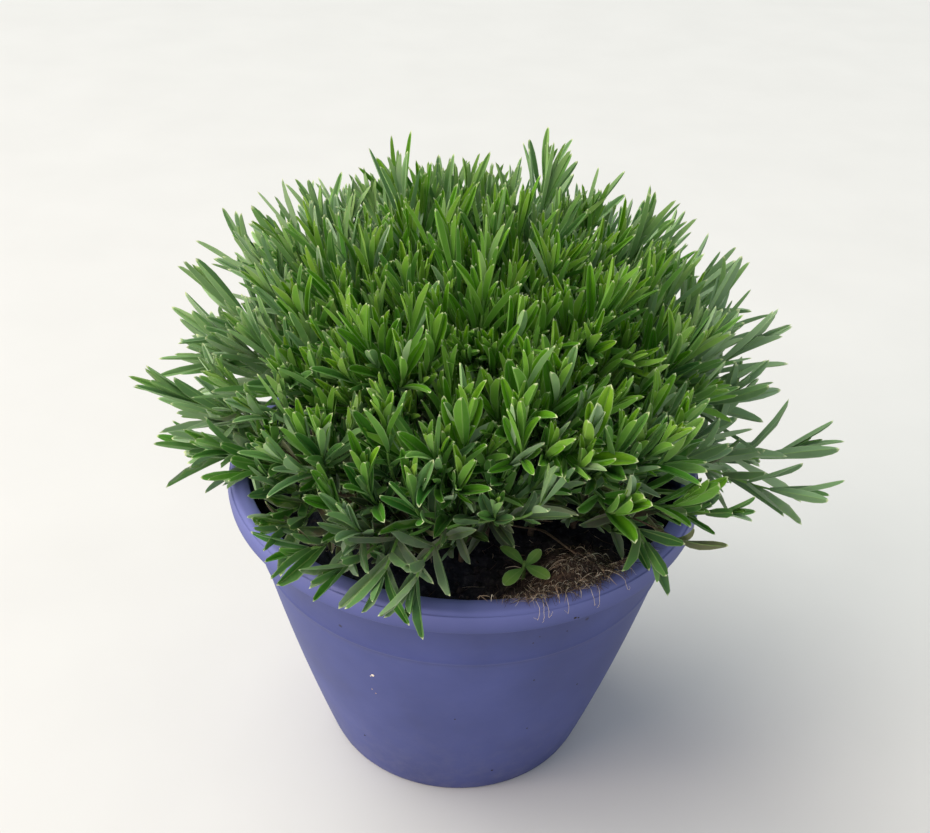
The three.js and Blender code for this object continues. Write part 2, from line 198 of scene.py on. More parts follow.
def setStudio():
    scene = bpy.context.scene
    scene.view_settings.view_transform = "Standard"
    scene.world = bpy.data.worlds.new("paleSky")
    scene.world.use_nodes = True
    sky = scene.world.node_tree.nodes["Background"]
    sky.inputs["Color"].default_value = toLinear(studio["sky"])
    sky.inputs["Strength"].default_value = studio["skyStrength"]
    sun = bpy.data.lights.new("brightSky", "SUN")
    sun.energy = studio["sun"]["strength"]
    sun.angle = math.radians(studio["sun"]["spread"])
    sun.color = toLinear(studio["sun"]["colour"])[:3]
    fill = bpy.data.lights.new("leftFill", "AREA")
    fill.shape = "DISK"
    fill.size = studio["fill"]["size"] * mm
    fill.energy = studio["fill"]["power"]
    fill.color = toLinear(studio["fill"]["colour"])[:3]
    aim = Vector(camera["aim"]) * mm
    for data, place in ((sun, studio["sun"]["from"]), (fill, studio["fill"]["place"])):
        lamp = bpy.data.objects.new(data.name, data)
        lamp.location = Vector(place) * mm
        lamp.rotation_euler = (aim - lamp.location).to_track_quat("-Z", "Y").to_euler()
        scene.collection.objects.link(lamp)
    half = studio["floorSize"] / 2
    corners = [(-half, -half, 0), (half, -half, 0), (half, half, 0), (-half, half, 0)]
    floor = meshPiece("paleFloor", corners, [(0, 1, 2), (0, 2, 3)], [floorPaint()])
    floor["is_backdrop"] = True


# Matt emulsion on board: a plain pale ground with a faint roller texture
def floorPaint():
    material, tree, place = newMaterial("board, painted matt")
    mottle = addNode(tree, "TexNoise", {"Scale": 9, "Detail": 3}, {"Vector": place})
    paint = addNode(tree, "ValToRGB", {"ramp": studio["floor"]}, {"Fac": mottle})
    surface = addNode(tree, "BsdfPrincipled", {"Roughness": 0.85}, {"Base Color": paint})
    addNode(tree, "OutputMaterial", None, {"Surface": surface})
    return material


setCamera()
setStudio()
print("camera, lights and floor set")


# The pot, measured from its axis and from the ground
potShape = {
    "height": 183, "rim": 130, "lipInner": 118.8, "lipOuter": 127.5,
    "bandHeight": 15.1, "bandFoot": 126.8, "shoulder": 120.9,
    "base": 78.2, "bulge": 2.7, "wall": 2.3, "floor": 2.4,
    "ringHeight": 136.5, "ringRelief": 0.7, "ringHalfWidth": 1.2,
    "baseDisc": 20, "footInner": 66, "footRise": 3, "footSlope": 2,
    "drainHoles": 8, "drainRadius": 5, "drainCircle": 43, "drainSides": 24,
    "segments": 160, "cornerSteps": 4, "sharpAngle": 40,
}


# Outer and inner radius of the pot wall at a height
def outerRadius(z):
    shape = potShape
    share = z / (shape["height"] - shape["bandHeight"])
    straight = shape["base"] + (shape["shoulder"] - shape["base"]) * share
    return straight + 4 * shape["bulge"] * share * (1 - share)


def innerRadius(z):
    return outerRadius(np.minimum(z, potShape["height"] - potShape["bandHeight"])) - potShape["wall"]


# A corner of the profile rounded by an arc that starts and ends "cut" away from it
def roundCorner(before, corner, after, cut):
    before, corner, after = (np.array(point, float) for point in (before, corner, after))
    start = corner + unit(before - corner) * min(cut, np.linalg.norm(before - corner) / 2)
    end = corner + unit(after - corner) * min(cut, np.linalg.norm(after - corner) / 2)
    steps = np.linspace(0, 1, potShape["cornerSteps"] + 1)[:, None]
    return (1 - steps) ** 2 * start + 2 * steps * (1 - steps) * corner + steps**2 * end


# From the middle of the base round the outside to the middle of the floor: radius, height, rounding
def potProfile():
    shape = potShape
    top, rim, floor, rise = shape["height"], shape["rim"], shape["floor"], shape["footRise"]
    disc, discEdge = shape["baseDisc"], shape["baseDisc"] + shape["footSlope"]
    foot, footEdge = shape["footInner"], shape["footInner"] - shape["footSlope"]
    bandFoot = top - shape["bandHeight"]
    ring, ringHalf = shape["ringHeight"], shape["ringHalfWidth"]
    corners = [(0, 0, 0), (disc, 0, 0.6), (discEdge, rise, 0.6), (footEdge, rise, 0.6)]
    corners += [(foot, 0, 0.6), (shape["base"] - 0.4, 0, 1.6)]
    corners += [(outerRadius(z), z, 0) for z in np.linspace(0.04, 0.97, 14) * (ring - 2 * ringHalf)]
    for share in (-1.6, -0.8, 0, 0.8, 1.6):
        z = ring + share * ringHalf
        bead = shape["ringRelief"] * (math.cos(share * math.pi / 1.6) + 1) / 2
        corners.append((outerRadius(z) + bead, z, 0))
    between = 0.5 * (ring + bandFoot)
    corners += [
        (outerRadius(between), between, 0),
        (shape["shoulder"], bandFoot + 0.3, 1.0),
        (shape["bandFoot"] - 1.2, bandFoot + 0.3, 0.6),
        (rim - 0.5, bandFoot + 2.4, 0.5),
        (rim, top - 9, 0),
        (rim - 1.1, top - 3.2, 0.4),
        (rim - 1.9, top - 3.0, 0.3),
        (shape["lipOuter"] - 0.6, top - 1.2, 1.5),
        (shape["lipInner"] + 3.4, top, 1.6),
        (shape["lipInner"], top - 0.6, 0.8),
        (innerRadius(bandFoot) + 0.1, bandFoot, 2.0),
    ]
    corners += [(innerRadius(z), z, 0) for z in np.linspace(0.94, 0.06, 8) * bandFoot]
    corners += [(innerRadius(floor), floor, 1.5), (foot, floor, 0.6), (footEdge, rise + floor, 0.6)]
    corners += [(discEdge, rise + floor, 0.6), (disc, floor, 0.6), (0, floor, 0)]
    places = [(r, z) for r, z, _ in corners]
    profile = []
    for k, (r, z, cut) in enumerate(corners):
        profile += list(roundCorner(places[k - 1], places[k], places[k + 1], cut)) if cut else [(r, z)]
    return profile


# A closed body turned about the Z axis from a profile that starts and ends on it
def turnedBody(profile, segments):
    rings = [r * circle(segments) + upward * z for r, z in profile[1:-1]]
    points = np.vstack([[upward * profile[0][1]], *rings, [upward * profile[-1][1]]])
    return points, ringFaces(len(rings), segments, 1, 0, len(points) - 1)


# Polypropylene, injection moulded: matt, faintly cloudy, dusty towards the foot, splashed with dried mud,
# with painted shade at the ring, band and lip and painted light on the band and lip
def potPlastic():
    material, tree, place = newMaterial("polypropylene, injection moulded")
    cloud = addNode(tree, "TexNoise", {"Scale": 14, "Detail": 4, "Roughness": 0.55}, {"Vector": place})
    blues = [(0.3, "#3c4478"), (0.5, "#444d86"), (0.72, "#4d5692")]
    paint = addNode(tree, "ValToRGB", {"ramp": blues}, {"Fac": cloud})
    height = addNode(tree, "SeparateXYZ", None, {0: place}).outputs["Z"]
    # Dust that splashes up from the ground and thins out over the lowest third
    low = addNode(tree, "MapRange", {"From Max": 0.07, "To Min": 0.32, "To Max": 0.04}, {"Value": height})
    speckle = addNode(tree, "TexNoise", {"Scale": 90, "Detail": 5, "Roughness": 0.7}, {"Vector": place})
    patches = addNode(tree, "MapRange", {"From Min": 0.45, "From Max": 0.75}, {"Value": speckle})
    dust = addNode(tree, "Math", {"operation": "MULTIPLY"}, {0: low, 1: patches})
    # Painted shade below the ring line, under the band and in the step under the lip, by share of the pot's
    # height
    share = addNode(tree, "MapRange", {"From Max": potShape["height"] * mm}, {"Value": height})
    greys = [(0.722, "#000000"), (0.735, "#8c8c8c"), (0.7385, "#000000"), (0.8, "#1c1c1c")]
    greys += [(0.875, "#7c7c7c"), (0.92, "#d0d0d0"), (0.925, "#000000"), (0.979, "#000000")]
    greys += [(0.9825, "#808080"), (0.985, "#000000")]
    paintedShade = addNode(tree, "ValToRGB", {"ramp": greys}, {"Fac": share})
    # Painted light: the band face and the lip paler towards the top, where they face the sky
    upTo = {"From Min": 0.1692, "From Max": 0.1812, "To Max": 0.75}
    lip = addNode(tree, "MapRange", upTo, {"Value": height})
    # Dried mud in small splashes, about one to each square decimetre
    splash = addNode(tree, "TexVoronoi", {"Scale": 70}, {"Vector": place})
    near = addNode(tree, "MapRange", {"From Min": 0.1, "From Max": 0.05}, {"Value": splash})
    rare = addNode(tree, "MapRange", {"From Min": 0.86, "From Max": 0.88}, {"Value": splash.outputs["Color"]})
    mud = addNode(tree, "Math", {"operation": "MULTIPLY"}, {0: near, 1: rare})
    for amount, colour in ((dust, "#7b798e"), (paintedShade, "#343860"), (lip, "#7278b4"), (mud, "#2c2c46")):
        paint = addNode(tree, "MixRGB", {"Color2": toLinear(colour)}, {"Fac": amount, "Color1": paint})
    # The fine grain of the mould, drawn coarser than it is so that it shows
    grain = addNode(tree, "TexNoise", {"Scale": 1600, "Detail": 2}, {"Vector": place})
    bump = addNode(tree, "Bump", {"Strength": 0.06, "Distance": 0.0004}, {"Height": grain})
    gloss = addNode(tree, "MapRange", {"To Min": 0.46, "To Max": 0.6}, {"Value": cloud})
    links = {"Base Color": paint, "Roughness": gloss, "Normal": bump}
    surface = addNode(tree, "BsdfPrincipled", {"IOR": 1.49, "Specular IOR Level": 0.35}, links)
    addNode(tree, "OutputMaterial", None, {"Surface": surface})
    return material


# Eight plugs that cut the drainage holes through the floor
def drainCutter():
    radius = potShape["drainRadius"]
    plug, faces = turnedBody([(0, -6), (radius, -6), (radius, 12), (0, 12)], potShape["drainSides"])
    places = potShape["drainCircle"] * circle(potShape["drainHoles"])
    points = (plug[None] + places[:, None]).reshape(-1, 3)
    return meshPiece("drainCutter", points, repeated(faces, len(places), len(plug)), [])


def makePot():
    points, faces = turnedBody(potProfile(), potShape["segments"])
    pot = meshPiece("growingPot", points, faces, [potPlastic()], sharpAngle=potShape["sharpAngle"])
    cutter = drainCutter()
    bore = pot.modifiers.new("drainHoles", "BOOLEAN")
    bore.operation = "DIFFERENCE"
    bore.solver = "EXACT"
    bore.object = cutter
    graph = bpy.context.evaluated_depsgraph_get()
    pot.data = bpy.data.meshes.new_from_object(pot.evaluated_get(graph))
    pot.modifiers.clear()
    bpy.data.objects.remove(cutter)
    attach(pot, "root")
    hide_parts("pot")
    print("pot:", len(pot.data.polygons), "faces")


makePot()


# Potting mix: a low mound with a heap of coir fibre at the front right, lowest by the wall
soilShape = {
    "gap": 0.3, "level": 163, "mound": 8,
    "heap": (62, -90), "heapRise": 14, "heapSpread": 30,
    "spill": (54, -104), "spillRise": 11, "spillSpread": 24,
    "dips": [(-20, -106), (-108, -34)], "dipDepth": 9, "dipSpread": 34,
    "clod": 4, "clodSize": 11, "grain": 1.5, "grainSize": 2.6,
    "drySpread": 32, "dryMost": 1.15, "dryLeast": 0.04,
    "rings": 84, "segments": 216, "wallHeights": (150, 120, 90, 60, 30),
}


# How near a place is to another, from 1 there to 0 far away
def nearness(x, y, place, spread):
    return np.exp(-((np.hypot(x - place[0], y - place[1]) / spread) ** 2))


# Height of the potting mix as the solids have it, which the stems start from
def soilHeight(x, y):
    shape = soilShape
    mound = shape["mound"] * (1 - (np.hypot(x, y) / potShape["lipInner"]) ** 2)
    return shape["level"] + mound + shape["heapRise"] * nearness(x, y, shape["heap"], shape["heapSpread"])


# The same with the spill of fibre against the rim and the hollows by the wall
def groundHeight(x, y):
    shape = soilShape
    height = soilHeight(x, y) + shape["spillRise"] * nearness(x, y, shape["spill"], shape["spillSpread"])
    for dip in shape["dips"]:
        height = height - shape["dipDepth"] * nearness(x, y, dip, shape["dipSpread"])
    return height


# How dry the mix is at a place: the heap is, and the rest isn't
def drynessAt(x, y):
    near = nearness(x, y, soilShape["spill"], soilShape["drySpread"])
    return np.clip(soilShape["dryMost"] * near + soilShape["dryLeast"], 0, 1)


# Peat with bark and coir, watered in: nearly black where it is wet, with a painted blue cast for sky-lit
# shade, brown and crumbly on the heap
def pottingMix():
    material, tree, place = newMaterial("peat and coir, watered in")
    grit = addNode(tree, "TexNoise", {"Scale": 260, "Detail": 6, "Roughness": 0.7}, {"Vector": place})
    dryness = addNode(tree, "Attribute", {"attribute_name": "dryness"}).outputs["Fac"]
    # The wet colours are tinted blue as painted shade, lit by the sky
    darks = [(0.3, "#0c1019"), (0.55, "#1e2430"), (0.75, "#40444c")]
    browns = [(0.3, "#2a211c"), (0.52, "#4f3f34"), (0.75, "#86705c")]
    wetWithSkyShade, dry = (addNode(tree, "ValToRGB", {"ramp": ramp}, {"Fac": grit}) for ramp in (darks, browns))
    mix = addNode(tree, "MixRGB", None, {"Fac": dryness, "Color1": wetWithSkyShade, "Color2": dry})
    crumb = addNode(tree, "TexVoronoi", {"Scale": 420}, {"Vector": place})
    bump = addNode(tree, "Bump", {"Strength": 0.6, "Distance": 0.001}, {"Height": crumb})
    dull = {"Roughness": 0.92, "Specular IOR Level": 0.25}
    surface = addNode(tree, "BsdfPrincipled", dull, {"Base Color": mix, "Normal": bump})
    addNode(tree, "OutputMaterial", None, {"Surface": surface})
    return material


def soilBody(mixMaterial):
    shape = soilShape
    count, segments = shape["rings"], shape["segments"]
    ring = circle(segments)
    edge = innerRadius(shape["level"]) - shape["gap"]
    points = np.vstack([np.zeros((1, 3))] + [edge * k / count * ring for k in range(1, count + 1)])
    points[:, 2] = groundHeight(points[:, 0], points[:, 1])
    for point in points:
        seed = Vector(point)
        point[2] += shape["clod"] * noise.fractal(seed / shape["clodSize"], 0.9, 2.1, 3)
        point[2] += shape["grain"] * noise.fractal(seed / shape["grainSize"], 0.7, 2.2, 3)
    rim = points[-segments:]
    reach = (innerRadius(rim[:, 2]) - shape["gap"]) / np.hypot(rim[:, 0], rim[:, 1])
    rim[:, :2] *= reach[:, None]
    bottom = potShape["footRise"] + potShape["floor"] + shape["gap"]
    heights = (*shape["wallHeights"], bottom)
    lower = [(innerRadius(z) - shape["gap"]) * ring + upward * z for z in heights]
    points = np.vstack([points, *lower, [upward * bottom]])
    faces = ringFaces(count + len(heights), segments, 1, 0, len(points) - 1)[:, ::-1]
    values = {"dryness": drynessAt(points[:, 0], points[:, 1])}
    return meshPiece("pottingMix", points, faces, [mixMaterial], values)


# A lump with twelve corners and twenty faces, each between three corners next to each other
def roundLump():
    golden = (1 + math.sqrt(5)) / 2
    signs = [(turn, up, side) for turn in range(3) for up in (1, -1) for side in (-1, 1)]
    corners = unit(np.array([np.roll((side, up * golden, 0), turn) for turn, up, side in signs], float))
    faces = []
    for face in itertools.combinations(range(12), 3):
        sharp = corners[list(face)]
        if np.linalg.norm(sharp - np.roll(sharp, 1, 0), axis=1).max() < 1.1:
            faces.append(face if np.linalg.det(sharp) > 0 else face[::-1])
    return corners, np.array(faces)


# Lumps and chips that lie loose on the mix
crumbs = {
    "seed": 21, "count": 1500, "size": (0.7, 3.2), "sizeFocus": 3, "stretch": (0.5, 1), "flatness": 0.7,
    "margin": 5, "raised": 0.2, "drier": 0.3,
}


def soilCrumbs(mixMaterial):
    rng = np.random.default_rng(crumbs["seed"])
    corners, faces = roundLump()
    count = crumbs["count"]
    radius = (potShape["lipInner"] - crumbs["margin"]) * np.sqrt(rng.random(count))
    turn = rng.random(count) * fullTurn
    x, y = radius * np.cos(turn), radius * np.sin(turn)
    size = between(crumbs["size"], rng.random(count) ** crumbs["sizeFocus"])
    stretch = between(crumbs["stretch"], rng.random((count, len(corners), 3)))
    stretch[:, :, 2] *= crumbs["flatness"]
    lumps = corners * stretch * size[:, None, None]
    spin = rng.random(count)[:, None] * fullTurn
    across = lumps[:, :, 0] * np.cos(spin) - lumps[:, :, 1] * np.sin(spin) + x[:, None]
    aside = lumps[:, :, 0] * np.sin(spin) + lumps[:, :, 1] * np.cos(spin) + y[:, None]
    above = lumps[:, :, 2] + (groundHeight(x, y) + crumbs["raised"] * size)[:, None]
    points = np.stack([across, aside, above], -1).reshape(-1, 3)
    drier = crumbs["drier"] * rng.random(count).repeat(len(corners))
    dryness = drynessAt(points[:, 0], points[:, 1]) + drier
    triangles = repeated(faces, count, len(corners))
    return meshPiece("mixCrumbs", points, triangles, [mixMaterial], {"dryness": dryness})


# Tubes round rows of points, from two directions across each row, closed at both ends
def tubeMesh(paths, across, aside, radii, sideCount):
    count, steps = paths.shape[:2]
    ring = circle(sideCount)
    spokes = across[:, :, None] * ring[:, :1] + aside[:, :, None] * ring[:, 1:2]
    points = (paths[:, :, None] + spokes * radii[..., None, None]).reshape(count, -1, 3)
    points = np.concatenate([points, paths[:, :1], paths[:, -1:]], 1)
    size = steps * sideCount
    faces = ringFaces(steps, sideCount, 0, size, size + 1, -1)[:, ::-1]
    return points.reshape(-1, 3), repeated(faces, count, size + 2)


def tubes(paths, radii, sideCount):
    along = unit(np.gradient(paths, axis=1))
    across = unit(np.cross(along, upward + np.array([0.01, 0.02, 0])))
    return tubeMesh(paths, across, np.cross(along, across), radii, sideCount)


# Coir and old roots, mostly tangled on the heap and spilling onto the rim
fibres = {
    "seed": 33, "heapCount": 1600, "spreadCount": 400, "steps": 5, "sides": 3,
    "length": (2.5, 13.5), "lengthFocus": 1.6, "radius": (0.09, 0.24), "radiusFocus": 2, "taper": (0.4, 1),
    "heapSpread": (18, 13), "overRim": 6, "fromWall": 7, "ontoRim": 5, "onRim": 0.2, "fall": 1.4,
    "lift": 3.2, "liftFocus": 1.5, "spreadLift": 1.2, "clear": 0.3, "curl": 1.2, "waver": 0.16,
    "paleShare": 0.3, "pale": (0.6, 1), "dark": (0, 0.42),
}


# Coir, retted and combed: dull straw to dark brown, each fibre a shade of its own
def coirFibre():
    material, tree, place = newMaterial("coir fibre, retted")
    shade = addNode(tree, "Attribute", {"attribute_name": "shade"}).outputs["Fac"]
    streak = addNode(tree, "TexNoise", {"Scale": 500, "Detail": 2}, {"Vector": place})
    shift = addNode(tree, "Math", {"operation": "MULTIPLY_ADD", 1: 0.25, 2: -0.12}, {0: streak})
    total = addNode(tree, "Math", {"operation": "ADD"}, {0: shade, 1: shift})
    straws = [(0.0, "#231a17"), (0.4, "#5a463a"), (0.75, "#ae957a"), (1.0, "#efe4cc")]
    paint = addNode(tree, "ValToRGB", {"ramp": straws}, {"Fac": total})
    surface = addNode(tree, "BsdfPrincipled", {"Roughness": 0.7}, {"Base Color": paint})
    addNode(tree, "OutputMaterial", None, {"Surface": surface})
    return material


# The surface that fibres lie on: the mix, then the top of the rim, then down its face
def restingHeight(x, y):
    r = np.hypot(x, y)
    onRim = smoothstep(r, potShape["lipInner"] - fibres["ontoRim"], potShape["lipInner"])
    height = between((groundHeight(x, y), potShape["height"] + fibres["onRim"]), onRim)
    return height - fibres["fall"] * np.maximum(r - potShape["lipOuter"] + 1, 0)


# Wandering lines of given middles and lengths, kept within the lip
def fibrePaths(rng, x, y, length):
    count, steps = len(x), fibres["steps"]
    heading = rng.random(count)[:, None] * fullTurn
    bend = (rng.random(count)[:, None] - 0.5) * fibres["curl"]
    waver = rng.normal(0, fibres["waver"], (count, steps))
    angle = heading + bend * np.linspace(-1, 1, steps) + np.cumsum(waver, 1) * 0.5
    length = length[:, None]
    stride = length / (steps - 1)
    px = x[:, None] + np.cumsum(np.cos(angle) * stride, 1) - np.cos(heading) * length / 2
    py = y[:, None] + np.cumsum(np.sin(angle) * stride, 1) - np.sin(heading) * length / 2
    shrink = np.minimum(1, (potShape["lipOuter"] + 0.5) / np.hypot(px, py))
    return px * shrink, py * shrink


def looseFibres(fibreMaterial):
    rng = np.random.default_rng(fibres["seed"])
    heap, spread = fibres["heapCount"], fibres["spreadCount"]
    total = heap + spread
    along = rng.normal(0, fibres["heapSpread"][0], heap)
    inward = np.abs(rng.normal(0, fibres["heapSpread"][1], heap)) - fibres["overRim"]
    radius = np.hypot(*soilShape["spill"]) - inward
    turn = math.atan2(soilShape["spill"][1], soilShape["spill"][0]) + along / radius
    ring = (potShape["lipInner"] - fibres["fromWall"]) * np.sqrt(rng.random(spread))
    around = rng.random(spread) * fullTurn
    x = np.concatenate([radius * np.cos(turn), ring * np.cos(around)])
    y = np.concatenate([radius * np.sin(turn), ring * np.sin(around)])
    length = between(fibres["length"], rng.random(total) ** fibres["lengthFocus"])
    px, py = fibrePaths(rng, x, y, length)
    arch = np.sin(np.linspace(0, math.pi, fibres["steps"]))
    lift = fibres["lift"] * rng.random(heap) ** fibres["liftFocus"]
    lift = np.append(lift, fibres["spreadLift"] * rng.random(spread))
    pz = restingHeight(px, py) + fibres["clear"] + lift[:, None] * arch
    thick = between(fibres["radius"], rng.random(total) ** fibres["radiusFocus"])
    radii = thick[:, None] * between(fibres["taper"], arch)
    points, faces = tubes(np.stack([px, py, pz], -1), radii, fibres["sides"])
    isPale = rng.random(total) < fibres["paleShare"]
    pale, dark = (between(fibres[key], rng.random(total)) for key in ("pale", "dark"))
    shade = np.where(isPale, pale, dark).repeat(len(points) // total)
    return meshPiece("coirFibres", points, faces, [fibreMaterial], {"shade": shade})


# Root threads washed out of the heap, which hang over the rim: azimuth, drop below the rim, slant in degrees
threads = {
    "seed": 5, "steps": 18, "sides": 5, "radius": 0.12, "wander": 0.0035, "shade": 0.86,
    "hanging": [
        (-72.4, -2, -1.6), (-71.6, 2, 0.5), (-71.0, -4, 2.0), (-66.5, -3, -2.5),
        (-60.0, -1, 1.5), (-57.3, 2, -1.6), (-52.0, -3, 0.8),
    ],
}


def rootThreads(fibreMaterial):
    rng = np.random.default_rng(threads["seed"])
    top, rim, steps = potShape["height"], potShape["rim"], threads["steps"]
    rows = []
    for azimuth, drop, slant in threads["hanging"]:
        turn = math.radians(azimuth)
        # Radius, height and share of the slant, from the mix over the lip and down the rim
        route = [
            (104, groundHeight(104 * math.cos(turn), 104 * math.sin(turn)) + 1.5, 0),
            (114, top - 3, 0.1),
            (121, top + 0.8, 0.2),
            (potShape["lipOuter"], top + 0.3, 0.35),
            (rim + 0.7, top - 6, 0.55),
            (rim + 0.9, top - 6 - drop / 2, 0.8),
            (rim + 0.6, top - 6 - drop, 1.0),
        ]
        share = np.linspace(0, len(route) - 1, steps)
        r, z, sway = (np.interp(share, np.arange(len(route)), column) for column in zip(*route))
        wander = np.cumsum(rng.normal(0, threads["wander"], steps))
        a = turn + sway * math.radians(slant) + wander
        rows.append(np.stack([r * np.cos(a), r * np.sin(a), z], -1))
    paths = np.array(rows)
    radii = np.full(paths.shape[:2], threads["radius"]) * np.linspace(1.2, 0.5, steps)
    points, faces = tubes(paths, radii, threads["sides"])
    shade = np.full(len(points), threads["shade"])
    return meshPiece("rootThreads", points, faces, [fibreMaterial], {"shade": shade})


# Specks that dried on the wall: azimuth, height, size and how pale each is
specks = [
    (-124.5, 37.6, 0.7, 0.02), (-90.0, 83.9, 0.6, 0.02), (-74.8, 21.9, 0.8, 0.02), (-66.0, 64.6, 0.6, 0.05),
    (-64.7, 172.2, 1.0, 0.0), (-63.9, 171.6, 0.6, 0.0), (-62.8, 151.8, 0.5, 0.05), (-71.6, 149.0, 0.5, 0.05),
    (-70.2, 153.2, 0.4, 0.05), (-68.7, 114.7, 0.6, 0.02), (-51.5, 92.2, 0.6, 0.02), (-113.4, 111.5, 1.1, 1.0),
    (-114.2, 110.0, 0.5, 0.95), (-114.7, 97.3, 0.5, 0.8), (-113.7, 94.4, 0.5, 0.75), (35.0, 120.0, 0.7, 0.05),
    (110.0, 64.0, 0.8, 0.02), (162.0, 96.0, 0.6, 0.05), (-160.0, 70.0, 0.7, 0.02), (-20.0, 50.0, 0.6, 0.05),
]
speckShape = (0.35, 1.0, 0.8)  # thickness on the wall, width and height, as shares of the size


def wallSpecks(fibreMaterial):
    corners, faces = roundLump()
    azimuth, height, size, shade = np.array(specks).T
    turn = np.radians(azimuth)
    out = np.stack([np.cos(turn), np.sin(turn), 0 * turn], -1)
    onWall = height < potShape["height"] - potShape["bandHeight"]
    radius = np.where(onWall, outerRadius(height), potShape["rim"] - 0.3)
    middles = out * radius[:, None] + upward * height[:, None]
    lumps = corners * speckShape * size[:, None, None]
    axes = np.stack([out, np.cross(upward, out), np.tile(upward, (len(specks), 1))], 1)
    points = (middles[:, None] + lumps @ axes).reshape(-1, 3)
    triangles = repeated(faces, len(specks), len(corners))
    return meshPiece("wallSpecks", points, triangles, [fibreMaterial], {"shade": shade.repeat(len(corners))})


def makeSoil():
    mix, fibre = pottingMix(), coirFibre()
    body = soilBody(mix)
    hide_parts("soil")
    for piece in (body, soilCrumbs(mix), looseFibres(fibre), rootThreads(fibre), wallSpecks(fibre)):
        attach(piece, "root")
        print(piece.name, len(piece.data.polygons), "faces")


makeSoil()


def levelTowards(azimuth):
    return np.array([math.cos(azimuth), math.sin(azimuth), 0.0])


# A direction that leans from upright towards an azimuth
def leaning(lean, azimuth):
    return levelTowards(azimuth) * math.sin(lean) + upward * math.cos(lean)


# The turn from one azimuth to another, half a turn either way at most
def turnBetween(start, end):
    return (end - start + math.pi) % fullTurn - math.pi


# Dome of foliage that the shoot tips reach
dome = {
    "centre": np.array([-3.0, 0.0, 190.0]), "radius": 188, "rise": 166,
    "tipInset": 26, "finerInset": 8,
    "skirt": 1.57, "skirtStart": 1.2, "skirtEnd": 1.55,
    "sprayDrop": 0.14, "sprayDropFocus": 6, "sprayLength": 34, "sprayFocus": 12, "leftTrim": 16,
    "openingAzimuth": -1.3, "openingDepth": 95, "openingFocus": 1.7,
    "openingStart": 0.95, "openingEnd": 1.5,
    "leanShare": 0.62, "leanGain": 0.12,
}


# From 0 to 1, how squarely an azimuth faces the opening at the front
def facingOpening(azimuth):
    return max(0, math.cos(azimuth - dome["openingAzimuth"]))


# Lowest polar angle of the foliage
def skirtAngle(azimuth):
    return dome["skirt"] + dome["sprayDrop"] * max(0, math.cos(azimuth)) ** dome["sprayDropFocus"]


# The polar angle that has a share of the dome above it
def polarAt(share, azimuth):
    return math.acos(1 - share * (1 - math.cos(skirtAngle(azimuth))))


# How far the dome is drawn out or in at a place
def lowReach(polar, azimuth):
    spray = dome["sprayLength"] * max(0, math.cos(azimuth)) ** dome["sprayFocus"]
    trim = dome["leftTrim"] * max(0, -math.cos(azimuth)) ** 2
    opening = dome["openingDepth"] * facingOpening(azimuth) ** dome["openingFocus"]
    low = smoothstep(polar, dome["skirtStart"], dome["skirtEnd"])
    return (spray - trim) * low - opening * smoothstep(polar, dome["openingStart"], dome["openingEnd"])


def domePoint(polar, azimuth, inset):
    reach = lowReach(polar, azimuth) - inset
    flat = (dome["radius"] + reach) * math.sin(polar)
    rise = (dome["rise"] + reach) * math.cos(polar)
    return dome["centre"] + levelTowards(azimuth) * flat + upward * rise


# The finer shoots stand more upright than the main ones, most of all at the front
uprightness = {
    "lean": 0.33, "leftMore": 0.04, "backMore": 0.12, "frontLess": 0.27, "frontFocus": 1.5, "wobble": 0.15,
}


def finerLean(polar, azimuth, rng):
    share = uprightness["lean"] + uprightness["leftMore"] * max(0, -math.cos(azimuth)) ** 2
    share += uprightness["backMore"] * max(0, math.sin(azimuth))
    share -= uprightness["frontLess"] * facingOpening(azimuth) ** uprightness["frontFocus"]
    return unit(leaning(share * polar, azimuth) + uprightness["wobble"] * rng.normal(size=3))


# The clump is open above the rim at two places of the front: azimuth, width and how far it is lifted there
finerSkirt = [(math.radians(-141), 0.3, 0.4), (math.radians(-74), 0.42, 0.32)]


# Lowest polar angle of the finer shoots
def finerLimit(azimuth):
    limit = skirtAngle(azimuth)
    for middle, width, lift in finerSkirt:
        limit -= lift * math.exp(-((turnBetween(middle, azimuth) / width) ** 2))
    return limit


# Point and direction at one or more shares of a curve of four control points
def shootPoint(line, share):
    a, b, c, d = line
    t = np.asarray(share)[..., None]
    return (1 - t) ** 3 * a + 3 * (1 - t) ** 2 * t * b + 3 * (1 - t) * t**2 * c + t**3 * d


def shootTangent(line, share):
    a, b, c, d = line
    t = np.asarray(share)[..., None]
    return unit(3 * (1 - t) ** 2 * (b - a) + 6 * (1 - t) * t * (c - b) + 3 * t**2 * (d - c))


# Stems start in a spiral on the mix, and their lines keep clear of the rim
stems = {
    "seed": 7, "seedStride": 1000, "count": 40, "crown": 74, "splay": 0.35,
    "turnWander": 0.2, "insetWander": 16, "insetMiddle": 0.35,
    "collar": 3, "holeDepth": 18, "radius": 1.7, "sideRadius": 1.1, "tipRadius": 0.7, "shadeThinner": 0.8,
    "startHandle": 0.38, "tipHandle": 0.36,
    "frames": 25, "sideFrames": 10, "tubeSides": 6, "sideTubeSides": 4,
    "rimMargin": 5, "rimSamples": 12, "liftStep": 4, "liftLimit": 60,
}


# Whether a line runs into the rim
def meetsRim(line):
    points = shootPoint(line, np.arange(1, stems["rimSamples"] + 1) / stems["rimSamples"])
    r = np.hypot(points[:, 0], points[:, 1])
    margin = stems["rimMargin"]
    inside = (r > potShape["lipInner"] - margin) & (r < potShape["rim"] + margin)
    return (inside & (points[:, 2] < potShape["height"] + margin)).any()


